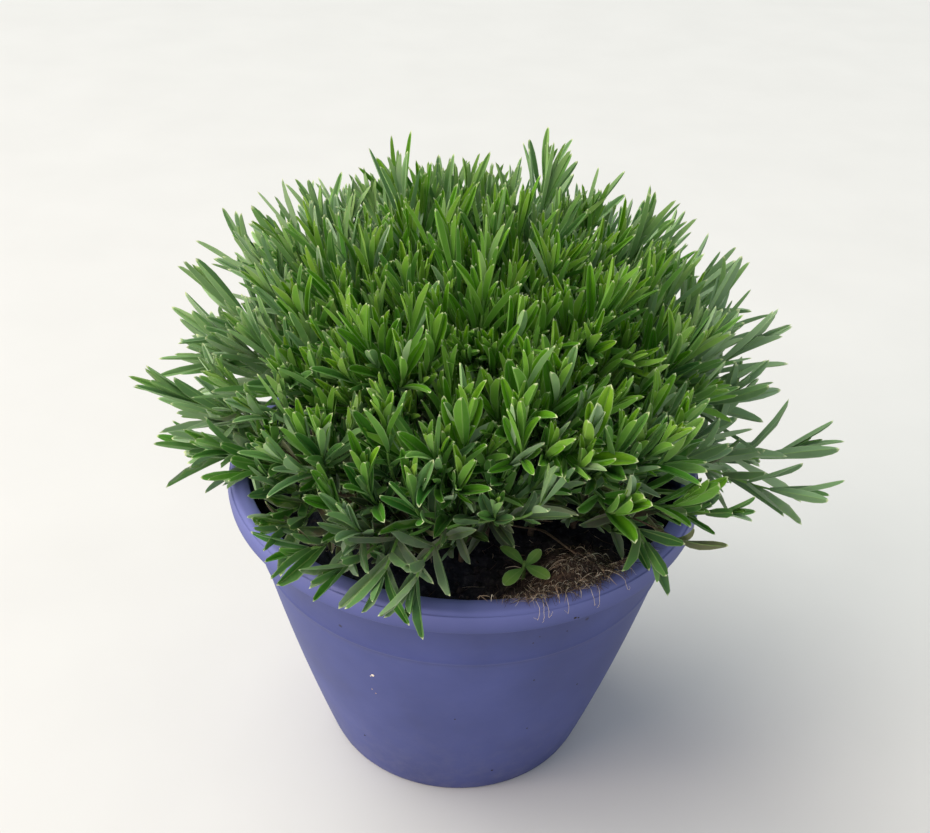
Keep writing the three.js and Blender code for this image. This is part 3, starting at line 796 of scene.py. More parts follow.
# A shoot's line from where it starts to its tip, lifted until it passes over the rim
def shootLine(start, startDirection, tip, tipDirection):
    span = np.linalg.norm(tip - start)
    for lift in range(0, stems["liftLimit"], stems["liftStep"]):
        leaving = start + startDirection * stems["startHandle"] * span + upward * lift
        arriving = tip - tipDirection * stems["tipHandle"] * span + upward * lift
        line = (start, leaving, arriving, tip)
        if not meetsRim(line):
            break
    return {"line": line, "pace": 3 * stems["tipHandle"] * span}


# Side shoots that end low at the front have short, old leaves, and the lowest all round have open ones
lowTips = {"under": 250, "before": -50, "beside": 110, "leaderFrom": 1.28}


def kindAt(tip, polar, usual):
    low = tip[2] < lowTips["under"] and tip[1] < lowTips["before"] and abs(tip[0]) < lowTips["beside"]
    if low and usual == "side":
        return "front"
    return "leader" if polar > lowTips["leaderFrom"] else usual


# Where a stem comes out of the mix
def collarAt(x, y):
    return np.array([x, y, soilHeight(x, y) + stems["collar"]])


def stemPlan(index, rng):
    draw = seededDraw(stems["seed"] * stems["seedStride"] + index)
    share = (index + 0.5) / stems["count"]
    turn = index * goldenAngle
    azimuth = turn + stems["turnWander"] * (draw() - 0.5)
    polar = min(polarAt(share, azimuth), finerLimit(azimuth))
    inset = dome["tipInset"] + stems["insetWander"] * (draw() - stems["insetMiddle"])
    radius = stems["crown"] * math.sqrt(share)
    start = collarAt(radius * math.cos(turn), radius * math.sin(turn))
    leaving = unit(upward + levelTowards(turn) * stems["splay"] * share)
    main = leaning(polar * (dome["leanShare"] + dome["leanGain"] * polar), azimuth)
    lean = unit(main + facingOpening(azimuth) * finerLean(polar, azimuth, rng))
    shoot = shootLine(start, leaving, domePoint(polar, azimuth, inset + dome["finerInset"] / 2), lean)
    shoots = [{"kind": kindAt(shoot["line"][3], polar, "main"), "isMain": True, **shoot}]
    place = {"index": index, "share": share, "polar": polar, "azimuth": azimuth}
    return {**place, "line": shoot["line"], "shoots": shoots}


# Adds a shoot that leaves its stem at a share of the stem's length, towards "outward" if that is given
def addShoot(plan, kind, share, tip, direction, outward=0):
    start = shootPoint(plan["line"], share)
    leaving = unit(shootTangent(plan["line"], share) + outward)
    plan["shoots"].append({"kind": kind, "isMain": False, **shootLine(start, leaving, tip, direction)})


# Side shoots spread round their stem's place on the dome, and are few at the clump's low edge
sides = {
    "seed": 100, "seedStride": 16, "count": 7, "start": (0.4, 0.74), "spread": (20, 42),
    "turnWander": 0.7, "leastRing": 0.35,
    "inset": 2, "insetRange": 30, "insetFocus": 2.5,
    "always": 2, "thinFrom": 0.96, "noneFrom": 1.16, "thinFacing": 0.5,
}


# A side shoot of a stem, left out where the low edge of the clump is thin
def addSide(plan, order, rng):
    seed = sides["seed"] + plan["index"] * sides["seedStride"] + order
    draw = seededDraw(stems["seed"] * stems["seedStride"] + seed)
    share = between(sides["start"], draw())
    spread = between(sides["spread"], math.sqrt(draw()))
    around = order * goldenAngle + sides["turnWander"] * draw()
    ring = dome["radius"] * max(sides["leastRing"], math.sin(plan["polar"]))
    azimuth = plan["azimuth"] + spread * math.sin(around) / ring
    polar = min(abs(plan["polar"] + spread * math.cos(around) / dome["radius"]), finerLimit(azimuth))
    inset = dome["tipInset"] + dome["finerInset"] + sides["inset"]
    inset += sides["insetRange"] * (1 - draw() ** sides["insetFocus"])
    tip = domePoint(polar, azimuth, inset)
    direction = finerLean(polar, azimuth, rng)
    edge = polar > sides["thinFrom"] and abs(math.cos(azimuth)) > sides["thinFacing"]
    if order < sides["always"] or not edge or (order % 2 and polar < sides["noneFrom"]):
        addShoot(plan, kindAt(tip, polar, "side"), share, tip, direction)


# The stem whose own place is the nearest to a point
def nearestPlan(plans, places, point):
    return plans[np.linalg.norm(places - point, axis=1).argmin()]


# Shoots that close the gaps between the ones above: each takes the emptiest place left on the dome
filling = {
    "seed": 11, "count": 320, "candidates": 2200, "start": (0.3, 0.7),
    "insetRange": 36, "insetFocus": 2.5, "lowest": (1.06, 0.74),
}


def addFilling(plans):
    rng = np.random.default_rng(filling["seed"])
    candidates = []
    for k in range(filling["candidates"]):
        azimuth = (k * goldenAngle) % fullTurn
        polar = polarAt((k + 0.5) / filling["candidates"], azimuth)
        inset = filling["insetRange"] * (1 - rng.random() ** filling["insetFocus"])
        lowest = between(filling["lowest"], max(0, -math.cos(azimuth)) ** 2)
        if polar < min(lowest, finerLimit(azimuth)):
            tip = domePoint(polar, azimuth, dome["tipInset"] + dome["finerInset"] + inset)
            candidates.append((polar, azimuth, tip))
    places = np.array([tip for _, _, tip in candidates])
    taken = np.array([shoot["line"][3] for plan in plans for shoot in plan["shoots"]])
    nearest = np.linalg.norm(places[:, None] - taken, axis=2).min(1)
    stemTips = np.array([plan["line"][3] for plan in plans])
    for _ in range(filling["count"]):
        polar, azimuth, tip = candidates[nearest.argmax()]
        plan = nearestPlan(plans, stemTips, tip)
        share = between(filling["start"], rng.random())
        addShoot(plan, kindAt(tip, polar, "side"), share, tip, finerLean(polar, azimuth, rng))
        nearest = np.minimum(nearest, np.linalg.norm(places - tip, axis=1))


# Shoots that rise from the front of the clump, at several heights, so that it is leafy down to the mix,
# but clear of the young shoot
frontShoots = {
    "seed": 23, "count": 48, "middle": math.radians(-80), "spread": math.radians(72), "start": 0.06,
    "radius": (62, 112), "lowest": 196, "rise": 62, "outerLess": 0.75,
    "lean": (0.036, 0.156), "wobble": 0.12,
    "clear": (31, -96), "clearRadius": 44, "clearHeight": 244,
}


def addFront(plans):
    rng = np.random.default_rng(frontShoots["seed"])
    bases = np.array([plan["line"][0] for plan in plans])
    for k in range(frontShoots["count"]):
        along = 2 * (k + rng.random()) / frontShoots["count"] - 1
        azimuth = frontShoots["middle"] + frontShoots["spread"] * along
        depth = rng.random()
        radius = between(frontShoots["radius"], depth)
        rise = frontShoots["rise"] * (1 - frontShoots["outerLess"] * depth)
        height = frontShoots["lowest"] + rise * rng.random()
        tip = levelTowards(azimuth) * radius + upward * height
        near = math.dist(tip[:2], frontShoots["clear"]) < frontShoots["clearRadius"]
        if near and height < frontShoots["clearHeight"]:
            continue
        lean = between(frontShoots["lean"], depth)
        direction = levelTowards(azimuth) * lean + upward + frontShoots["wobble"] * rng.normal(size=3)
        plan = nearestPlan(plans, bases[:, :2], tip[:2])
        addShoot(plan, "front", frontShoots["start"], tip, unit(direction))


# The place low on a stem that is taken for its foot: share of the stem, and height
lowJoint = {"share": 0.35, "height": 200}

# Single shoots that the rules don't give: kind, share of the stem that they leave from, whether that is
# the stem with the nearest tip or the nearest foot, and the place and direction of each shoot's tip
singles = [
    # Over the rim at the front left, and low at the right
    ("leader", 0.2, "foot", [
        (-104, -86, 226, -0.85, -0.5, -0.2), (-92, -92, 205, -0.8, -0.6, 0.25),
        (112, -76, 208, 0.7, -0.5, 0.35), (173, -39, 194, 0.98, -0.05, 0.05), (128, -84, 214, 0.7, -0.4, 0.5),
    ]),
    ("hanging", 0.2, "foot", [
        (-21, -131, 200, -0.15, -0.7, -0.7), (-36, -127, 201, -0.35, -0.75, -0.55),
        (-56, -121, 200, -0.85, -0.5, -0.12), (-74, -114, 204, -0.95, -0.3, 0.05),
        (-48, -108, 208, -0.4, -0.8, 0.25), (-84, -96, 204, -0.8, -0.5, 0.2),
        (90, -97, 199, 0.45, -0.6, -0.6),
    ]),
    # Upright in the front of the clump, down to the rim
    ("standing", 0.1, "foot", [
        (-23, -122, 249, 0.02, -0.05, 1.0), (-44, -114, 249, -0.06, -0.05, 1.0),
        (-72, -100, 258, -0.15, 0.0, 1.0), (-35, -108, 272, 0.0, 0.0, 1.0), (0, -108, 277, 0.05, 0.05, 1.0),
        (25, -104, 296, 0.04, 0.0, 1.0), (22, -110, 277, -0.02, -0.05, 1.0), (68, -104, 265, 0.1, -0.05, 1.0),
        (37, -102, 252, 0.08, -0.1, 1.0), (97, -80, 257, 0.2, -0.05, 1.0),
        (-11, -108, 250, -0.08, -0.08, 1.0), (-60, -112, 236, -0.2, -0.15, 1.0),
        (-93, -84, 222, -0.4, -0.2, 0.9), (-51, -118, 226, -0.25, -0.25, 0.9),
    ]),
    # A dead twig at the right, just over the rim
    ("bare", 0.15, "foot", [(107, -92, 201, 0.8, -0.4, -0.1)]),
    # Out of the clump all round, so that its outline is ragged
    ("leader", 0.45, "tip", [
        (-127, 2, 246, -0.7, 0.0, 0.7), (-118, 0, 229, -0.85, 0.0, 0.5), (-133, -10, 207, -0.95, -0.1, 0.2),
        (-127, -25, 203, -0.9, -0.2, 0.0), (-121, 55, 268, -0.5, 0.2, 0.85), (-107, 55, 257, -0.75, 0.2, 0.6),
        (-102, 57, 273, -0.35, 0.1, 0.93), (-96, 33, 266, -0.45, 0.1, 0.88), (-84, 57, 295, -0.3, 0.1, 0.95),
        (-42, 58, 309, -0.3, 0.2, 0.93), (-17, 59, 308, -0.1, 0.1, 0.98), (39, 98, 310, 0.05, 0.1, 1.0),
        (61, 55, 303, 0.35, 0.15, 0.92), (88, 45, 288, 0.4, 0.15, 0.9), (125, 56, 262, 0.5, 0.15, 0.85),
        (132, 34, 262, 0.4, 0.1, 0.9), (129, 26, 248, 0.6, 0.1, 0.8), (139, 0, 229, 0.65, 0.0, 0.75),
        (119, -18, 208, 0.75, -0.1, 0.6), (92, 106, 263, 0.45, 0.5, 0.75), (29, 135, 255, 0.15, 0.6, 0.78),
        (-57, 123, 261, -0.3, 0.6, 0.75), (-112, 86, 249, -0.6, 0.45, 0.66), (128, 80, 233, 0.7, 0.4, 0.6),
        (-19, 143, 231, -0.1, 0.8, 0.6),
    ]),
    # With the broad yellow-green leaves of this spring, at the front right
    ("broad", 0.4, "tip", [
        (54, -107, 268, 0.02, -0.08, 0.99), (94, -92, 254, 0.2, -0.08, 0.97),
        (72, -110, 234, 0.3, -0.2, 0.93), (104, -92, 226, 0.5, -0.15, 0.85),
    ]),
]


def addSingles(plans):
    feet = np.array([shootPoint(plan["line"], lowJoint["share"]) for plan in plans])
    feet[:, 2] = lowJoint["height"]
    places = {"foot": feet, "tip": np.array([plan["line"][3] for plan in plans])}
    for kind, share, nearTo, rows in singles:
        for row in np.array(rows, float):
            plan = nearestPlan(plans, places[nearTo], row[:3])
            addShoot(plan, kind, share, row[:3], unit(row[3:]))


# Short shoots low in the clump, in the shade, with small grey-green leaves
shade = {
    "seed": 17, "perStem": 3, "start": (0.08, 0.38), "raised": 0.1,
    "reach": (26, 60), "rise": (0.5, 1.5), "clear": 12,
}

# Old side shoots that have lost their leaves, grey and dry, at the front and left of the clump
bareTwigs = {
    "seed": 29, "perStem": 3, "start": (0.05, 0.35),
    "facing": math.radians(-125), "width": math.radians(75), "turnWander": 0.9, "leastShare": 0.3,
    "reach": (18, 52), "rise": (0.4, 1.6), "clear": 6, "radii": (0.85, 0.35),
}


# A short shoot low on a stem, with its tip clear of the mix, from its own limits and shares between them
def addLow(plan, kind, own, outward, start, reach, rise):
    share = between(own["start"], start)
    direction = unit(outward + upward * between(own["rise"], rise))
    tip = shootPoint(plan["line"], share) + direction * between(own["reach"], reach)
    tip[2] = max(tip[2], soilHeight(tip[0], tip[1]) + own["clear"])
    addShoot(plan, kind, share, tip, direction, outward)


def addShade(plans):
    rng = np.random.default_rng(shade["seed"])
    for plan in plans:
        for start, turn, reach, rise in rng.random((shade["perStem"], 4)):
            outward = levelTowards(turn * fullTurn) + upward * shade["raised"]
            addLow(plan, "shade", shade, outward, start, reach, rise)


def addTwigs(plans):
    rng = np.random.default_rng(bareTwigs["seed"])
    for plan in plans:
        away = abs(turnBetween(bareTwigs["facing"], plan["azimuth"]))
        if away > bareTwigs["width"] or plan["share"] < bareTwigs["leastShare"]:
            continue
        for _ in range(bareTwigs["perStem"]):
            start = rng.random()
            outward = levelTowards(plan["azimuth"] + rng.normal() * bareTwigs["turnWander"])
            rise, reach = rng.random(2)
            addLow(plan, "bare", bareTwigs, outward, start, reach, rise)


def growPlans():
    rng = np.random.default_rng(stems["seed"])
    plans = [stemPlan(index, rng) for index in range(stems["count"])]
    for plan in plans:
        for order in range(sides["count"]):
            addSide(plan, order, rng)
    for addMore in (addFilling, addFront, addSingles, addShade, addTwigs):
        addMore(plans)
    return plans


# Opposite pairs of leaves, counted back from the tip: distance, length, width, angle to the shoot, age
pairs = {
    "main": [
        (0.3, 7, 1.6, 3, 0.0), (1.0, 12, 2.2, 5, 0.03), (2.0, 18, 2.4, 6, 0.06), (3.4, 25, 2.9, 8, 0.1),
        (6.0, 30, 3.5, 11, 0.14), (14, 36, 4.5, 16, 0.24), (26, 41, 5.2, 23, 0.4), (39, 40, 5.7, 32, 0.56),
        (52, 35, 5.2, 41, 0.72), (65, 30, 4.7, 52, 0.8), (78, 25, 4.2, 60, 0.86),
    ],
    "side": [
        (0.3, 7, 1.6, 3, 0.0), (1.0, 12, 2.2, 5, 0.03), (2.0, 18, 2.4, 6, 0.06), (3.4, 24, 2.9, 8, 0.1),
        (6.0, 29, 3.5, 10, 0.15), (13, 34, 4.3, 14, 0.26), (25, 37, 4.9, 20, 0.44), (38, 34, 4.7, 30, 0.6),
    ],
    "leader": [
        (0.3, 9, 2.0, 3, 0.05), (1.4, 17, 2.8, 6, 0.1), (4, 30, 4.4, 12, 0.16), (14, 39, 5.6, 22, 0.3),
        (27, 42, 6.1, 31, 0.42), (41, 40, 5.8, 39, 0.52), (52, 33, 5.0, 49, 0.7), (65, 28, 4.4, 55, 0.8),
    ],
    "broad": [
        (0.3, 10, 3.0, 4, 0.0), (1.2, 18, 4.2, 7, 0.0), (3, 28, 6.0, 11, 0.02), (8, 36, 7.4, 17, 0.08),
        (20, 40, 7.8, 27, 0.2), (34, 38, 7.2, 40, 0.4),
    ],
    "standing": [
        (0.3, 8, 1.8, 3, 0.0), (1.0, 13, 2.4, 4, 0.03), (2.2, 19, 3.0, 6, 0.08), (4.0, 26, 3.8, 9, 0.14),
        (7.0, 31, 4.6, 12, 0.22), (16, 37, 5.8, 18, 0.34), (29, 39, 6.2, 27, 0.48), (43, 36, 5.6, 34, 0.6),
        (57, 30, 5.0, 42, 0.7),
    ],
    "front": [
        (0.3, 7, 1.8, 3, 0.04), (1.2, 12, 2.3, 5, 0.1), (2.6, 18, 3.0, 7, 0.18), (5, 24, 4.0, 10, 0.28),
        (12, 29, 4.9, 15, 0.4), (22, 30, 5.0, 22, 0.54), (34, 27, 4.6, 30, 0.66), (47, 22, 4.0, 38, 0.78),
        (60, 17, 3.4, 46, 0.86),
    ],
    "shade": [
        (0.5, 9, 2.2, 10, 0.48), (3, 14, 3.0, 22, 0.56), (10, 17, 3.4, 38, 0.66), (19, 16, 3.2, 52, 0.76),
    ],
    "hanging": [
        (0.3, 9, 2.4, 5, 0.2), (1.5, 17, 3.8, 12, 0.3), (5, 25, 5.6, 26, 0.42), (14, 29, 6.4, 40, 0.5),
        (25, 29, 6.2, 52, 0.58), (36, 26, 5.6, 60, 0.66), (48, 22, 5.0, 64, 0.76),
    ],
    "bare": [],
}

# How many pairs at the tip are small leaves
smallPairs = {
    "main": 5, "side": 5, "leader": 2, "broad": 2, "standing": 3, "front": 4, "shade": 4, "hanging": 2,
}

# Tufts of two small leaves in the axils of some grown pairs
axil = {
    "from": 6, "to": 7, "share": 0.6, "length": (7.8, 18.2), "width": 1.9, "lean": (0.25, 0.5),
    "spread": 0.22, "out": 0.6, "arch": 0.04, "younger": 0.7,
}

# Leaves differ from each other, small ones less than grown ones
wander = {
    "small": {"swing": 0.112, "opening": 1.5, "rise": 0, "arch": 0.02, "twist": 0.15, "fold": 0.7},
    "grown": {"swing": 0.28, "opening": 5, "rise": 0.42, "arch": 0.03, "twist": 0.5, "fold": 0.4},
    "leastOpening": 2, "archRange": 0.07, "bend": 0.07, "foldRange": 0.4,
    "length": 0.12, "lengthLimits": (0.72, 1.22), "width": 0.1, "age": 0.05, "tone": 0.13,
    "paleShare": 0.07, "paleTone": 1.1, "riseShare": {"hanging": 0.0, "leader": 0.35},
    "lowest": 0.12, "rootDepth": 0.4, "plainAge": 0.7,
}

# Leaves at the front are shorter and broader, low ones broader and older and darker, partly as painted shade,
# and those at the ends larger
growth = {
    "frontDepth": 90, "shorterFront": 0.16, "shorterLow": 0.34, "lowUnder": 240, "lowDepth": 35,
    "narrowest": 0.77, "broadening": 0.31, "broadLow": 0.75, "broadUnder": 300, "broadDepth": 90,
    "largerEnds": 0.14, "endsFrom": 50, "endsTo": 120,
    "ageAndPaintedShade": 0.34, "shadedUnder": 258, "shadedDepth": 60,
}

# Odd leaves where the eye finds them, a bleached pair at the left and dry curled ones at the foot and the
# right: place, direction, length, width, age, tone
oddLeaves = [
    ((-84, -72, 254), (-0.2, -0.45, 0.4), 11, 8, 0.0, 2.2),
    ((-80, -74, 250), (-0.6, -0.3, 0.5), 14, 5, 0.1, 1.4),
    ((107, -92, 201), (0.85, -0.1, -0.3), 22, 5, 1.2, 0.0),
    ((105, -91, 201), (0.5, -0.3, 0.35), 13, 4, 1.1, 0.0),
    ((-70, -102, 208), (-0.5, -0.5, 0.3), 17, 4, 1.1, 0.0),
    ((-60, -96, 204), (0.4, -0.7, 0.2), 15, 3.6, 1.0, 0.2),
    ((-76, -92, 210), (-0.8, -0.1, 0.1), 18, 4, 1.2, 0.0),
    ((-64, -84, 206), (0.1, -0.9, 0.4), 16, 3.8, 1.1, 0.0),
    ((-20, -92, 205), (0.5, -0.6, 0.2), 15, 3.6, 1.1, 0.0),
    ((-104, -52, 220), (-0.7, -0.5, 0.2), 18, 4, 1.1, 0.0),
    ((-110, -44, 226), (-0.6, -0.6, -0.2), 16, 4, 1.0, 0.2),
]
oddForms = {
    "shares": (0.1, 0.95, 18), "dryFrom": 0.9,
    "dry": {"arch": 0.45, "bend": 0.2, "twist": 1.2, "fold": 0.8},
    "bleached": {"arch": 0.1, "bend": 0.0, "twist": 0.1, "fold": 0.25},
}


# Each odd leaf grows from the nearest place on a shoot, and is kept with the leaves of that stem
def oddRows(plans):
    rows = [[] for _ in plans]
    shares = np.linspace(*oddForms["shares"])
    owned = [(plan["index"], shoot["line"]) for plan in plans for shoot in plan["shoots"]]
    places = np.concatenate([shootPoint(line, shares) for _, line in owned])
    for place, direction, length, width, age, tone in oddLeaves:
        nearest = np.linalg.norm(places - place, axis=1).argmin()
        direction = unit(np.array(direction))
        line = {"root": places[nearest], "direction": direction, "wide": unit(np.cross(direction, upward))}
        size = {"length": length, "width": width, "age": age, "tone": tone}
        form = oddForms["dry" if age > oddForms["dryFrom"] else "bleached"]
        rows[owned[nearest // len(shares)][0]].append({**line, **size, **form})
    return rows


# A blade: places along it, how full it is there, and its section from edge to edge and back under
blade = {
    "run": [0.02, 0.16, 0.34, 0.54, 0.74, 0.89, 0.97],
    "fullness": [0.34, 0.58, 0.85, 1.0, 0.94, 0.66, 0.36],
    "across": [-1, -0.55, 0, 0.55, 1, 0],
    "raised": [1.152, 1.056, 0, 1.056, 1.152, 0],
    "under": [0, 0, 0, 0, 0, 0.5],
    "top": [0.5, 1, 1, 1, 0.5, 0],
}
smallBlade = {
    "run": [0.04, 0.34, 0.68, 0.93],
    "fullness": [0.5, 0.92, 1.0, 0.5],
    "across": [-1, 0, 1, 0],
    "raised": [1.44, 0, 1.44, 0],
    "under": [0, 0, 0, 0.5],
    "top": [0.5, 1, 0.5, 0],
}


# Frames along a shoot, carried on from its start without twist
def shootFrames(line, steps):
    shares = np.linspace(0, 1, steps)
    along = shootTangent(line, shares)
    across = np.empty_like(along)
    side = np.cross(np.array([0.0, 1.0, 0.0]), along[0])
    for k in range(steps):
        side = unit(side - along[k] * (side @ along[k]))
        across[k] = side
    return shootPoint(line, shares), along, across, np.cross(along, across)


def frameAt(frames, share):
    place = share * (len(frames[0]) - 1)
    low = min(int(place), len(frames[0]) - 2)
    part = place - low
    point, along, across = (column[low] * (1 - part) + column[low + 1] * part for column in frames[:3])
    along = unit(along)
    across = unit(across - along * (across @ along))
    return point, along, across, np.cross(along, across)


# How long and how broad a shoot's leaves are against the usual ones
def leafScale(shoot):
    x, y, z = shoot["line"][3]
    front = smoothstep(-y, 0, growth["frontDepth"]) * (shoot["kind"] != "hanging")
    low = front * smoothstep(growth["lowUnder"] - z, 0, growth["lowDepth"])
    shorter = 1 - growth["shorterFront"] * front - growth["shorterLow"] * low
    lowBroad = growth["broadLow"] * smoothstep(growth["broadUnder"] - z, 0, growth["broadDepth"])
    broad = growth["narrowest"] + growth["broadening"] * max(front, lowBroad) * shorter
    atEnds = smoothstep(abs(x), growth["endsFrom"], growth["endsTo"])
    larger = 1 + growth["largerEnds"] * atEnds * (1 - front)
    return shorter * larger, broad * larger


# Leaves of one shoot as rows of what bladeMesh asks for
def addLeaves(shoot, frames, rng, tone, leaves):
    kind = shoot["kind"]
    longer, broader = leafScale(shoot)
    for order, (back, length, width, opening, age) in enumerate(pairs[kind]):
        share = 1 - back / shoot["pace"]
        if share < wander["lowest"]:
            break
        point, along, across, aside = frameAt(frames, share)
        isSmall = order < smallPairs[kind]
        own = wander["small" if isSmall else "grown"]
        # How deep a leaf sits in the low shade; it moves the leaf darker along the age ramp, as painted shade
        shaded = smoothstep(growth["shadedUnder"] - point[2], 0, growth["shadedDepth"])
        rise = upward * own["rise"] * wander["riseShare"].get(kind, 1) * (1 - along[2])
        # The two leaves of a pair face away from each other, and a quarter turn from the pair before
        for half in (0, 2):
            face = (order + 1) % 2 + half
            turn = (face + 0.5) * math.pi / 2 + own["swing"] * rng.normal()
            outward = across * math.cos(turn) + aside * math.sin(turn)
            lean = math.radians(max(wander["leastOpening"], opening + own["opening"] * rng.normal()))
            direction = unit(along * math.cos(lean) + outward * math.sin(lean) + rise)
            wide = np.cross(along, outward)
            size = np.clip(1 + wander["length"] * rng.normal(), *wander["lengthLimits"])
            leaf = {
                "root": point + outward * wander["rootDepth"],
                "direction": direction,
                "wide": unit(wide - direction * (wide @ direction)),
                "length": length * longer * size,
                "width": width * broader * (1 + wander["width"] * rng.normal()),
                "arch": own["arch"] + (0 if isSmall else wander["archRange"] * rng.normal()),
                "bend": wander["bend"] * rng.normal(),
                "twist": own["twist"] * rng.normal(),
                "fold": own["fold"] + wander["foldRange"] * rng.random(),
                "age": age + wander["age"] * rng.normal() + growth["ageAndPaintedShade"] * shaded,
                "tone": tone + wander["tone"] * rng.normal(),
            }
            leaf["tone"] += wander["paleTone"] * (rng.random() < wander["paleShare"])
            isPlain = isSmall or leaf["age"] > wander["plainAge"] or kind == "shade"
            leaves["small" if isPlain else "grown"].append(leaf)
            if axil["from"] <= order <= axil["to"] and rng.random() < axil["share"]:
                addAxil(leaf, along, outward, rng, leaves["small"])


def addAxil(leaf, along, outward, rng, rows):
    for side in (-1, 1):
        lean = between(axil["lean"], rng.random())
        sideways = leaf["wide"] * side * axil["spread"]
        direction = unit(along * math.cos(lean) + outward * math.sin(lean) + sideways)
        changed = {
            "root": leaf["root"] + outward * axil["out"],
            "direction": direction,
            "wide": unit(np.cross(direction, outward) + 1e-6) * -side,
            "length": between(axil["length"], rng.random()),
            "width": axil["width"],
            "arch": axil["arch"],
            "age": leaf["age"] * axil["younger"],
        }
        rows.append({**leaf, **changed})


# Leaves keep clear of the pot and the ground, and inside a box a little larger than the solids'
settling = {
    "clear": 1.5, "shares": (0.45, 0.7, 0.88, 1.0), "lifts": 9, "lift": 0.22,
    "boxMargin": 0.025, "cuts": 6, "cut": 0.86,
}


# Whether points are in the pot's wall or under the ground
def isBlocked(points):
    x, y, z = points[..., 0], points[..., 1], points[..., 2]
    r = np.hypot(x, y)
    clear = settling["clear"]
    inside = potShape["lipInner"] - clear
    inWall = (r > inside) & (r < potShape["rim"] + clear) & (z < potShape["height"] + clear)
    return inWall | ((r <= inside) & (z < groundHeight(x, y) + clear))


# Points along the middle of each leaf
def bladeLine(columns, shares):
    u = np.array(shares)[:, None]
    length, arch, bend = (columns[key][:, None, None] for key in ("length", "arch", "bend"))
    direction, wide = columns["direction"][:, None], columns["wide"][:, None]
    curve = (wide * bend - np.cross(direction, wide) * arch) * length * u**2
    return columns["root"][:, None] + direction * length * u + curve


# Leaves that would run into the pot or the ground are raised, and ones that leave the box are shortened
def settleLeaves(columns):
    margin = settling["boxMargin"] * np.array(cadHigh - cadLow) / mm
    low = np.array(cadLow) / mm - margin
    high = np.array(cadHigh) / mm + margin
    for _ in range(settling["lifts"]):
        hits = isBlocked(bladeLine(columns, settling["shares"])).any(1)
        direction = unit(columns["direction"][hits] + upward * settling["lift"])
        wide = columns["wide"][hits]
        columns["direction"][hits] = direction
        columns["wide"][hits] = unit(wide - direction * (wide * direction).sum(1, keepdims=True))
    for _ in range(settling["cuts"]):
        tips = bladeLine(columns, [1])[:, 0]
        columns["length"][((tips < low) | (tips > high)).any(1)] *= settling["cut"]
    return columns


# All leaves of one shape as a block: points, triangles, material number and values
def bladeMesh(shape, rows):
    columns = settleLeaves({name: np.array([row[name] for row in rows], float) for name in rows[0]})
    run, full, across, raised, under, top = (np.array(column, float) for column in shape.values())
    count, rings, ringSize = len(rows), len(run), len(across)
    wide = columns["wide"][:, None]
    above = np.cross(columns["direction"][:, None], wide)
    angle = columns["twist"][:, None, None] * run[:, None]
    wideNow = (wide * np.cos(angle) + above * np.sin(angle))[:, :, None]
    aboveNow = (above * np.cos(angle) - wide * np.sin(angle))[:, :, None]
    half = columns["width"][:, None, None] / 2 * full[:, None]
    upwards = half * raised * columns["fold"][:, None, None] - under * np.sqrt(full)[:, None]
    middle = bladeLine(columns, run)[:, :, None]
    points = middle + wideNow * (half * across)[..., None] + aboveNow * upwards[..., None]
    ends = columns["root"][:, None], bladeLine(columns, [1])
    points = np.concatenate([points.reshape(count, -1, 3), *ends], 1)
    size = rings * ringSize + 2
    faces = ringFaces(rings, ringSize, 0, size - 2, size - 1, -1)
    values = {
        "leafRun": np.tile(np.append(run.repeat(ringSize), (0, 1)), count),
        "leafSpan": np.tile(np.append(np.tile(across, rings), (0, 0)), count),
        "leafTop": np.tile(np.append(np.tile(top, rings), (0.5, 0.5)), count),
        "leafAge": columns["age"].repeat(size),
        "leafTone": columns["tone"].repeat(size),
    }
    return points.reshape(-1, 3), repeated(faces, count, size), 0, values


# Stems are woody at the foot and green towards the tips, and side shoots are mostly green
woodiness = {"from": 0.12, "to": 0.5, "side": 0.35, "young": 0.2}


# A stem or shoot as a tube, in the same form of block
def shootTube(shoot, frames):
    points, _, across, aside = frames
    isMain, isBare = shoot["isMain"], shoot["kind"] == "bare"
    thick = stems["radius"] if isMain else stems["sideRadius"]
    thick *= stems["shadeThinner"] if shoot["kind"] == "shade" else 1
    ends = bareTwigs["radii"] if isBare else (thick, stems["tipRadius"])
    radii = np.linspace(*ends, len(points))
    if isMain:
        across, aside, radii = (np.concatenate([column[:1], column]) for column in (across, aside, radii))
        depth = stems["collar"] + stems["holeDepth"] - 1
        points = np.vstack([points[:1] - upward * depth, points])
    sideCount = stems["tubeSides"] if isMain else stems["sideTubeSides"]
    body, faces = tubeMesh(points[None], across[None], aside[None], radii[None], sideCount)
    wood = 1 - smoothstep(np.linspace(0, 1, len(points)), woodiness["from"], woodiness["to"])
    wood *= 1 if isMain else woodiness["side"]
    if isBare:
        wood[:] = 1
    return body, faces, 1, {"wood": np.append(wood.repeat(sideCount), (wood[0], wood[-1]))}


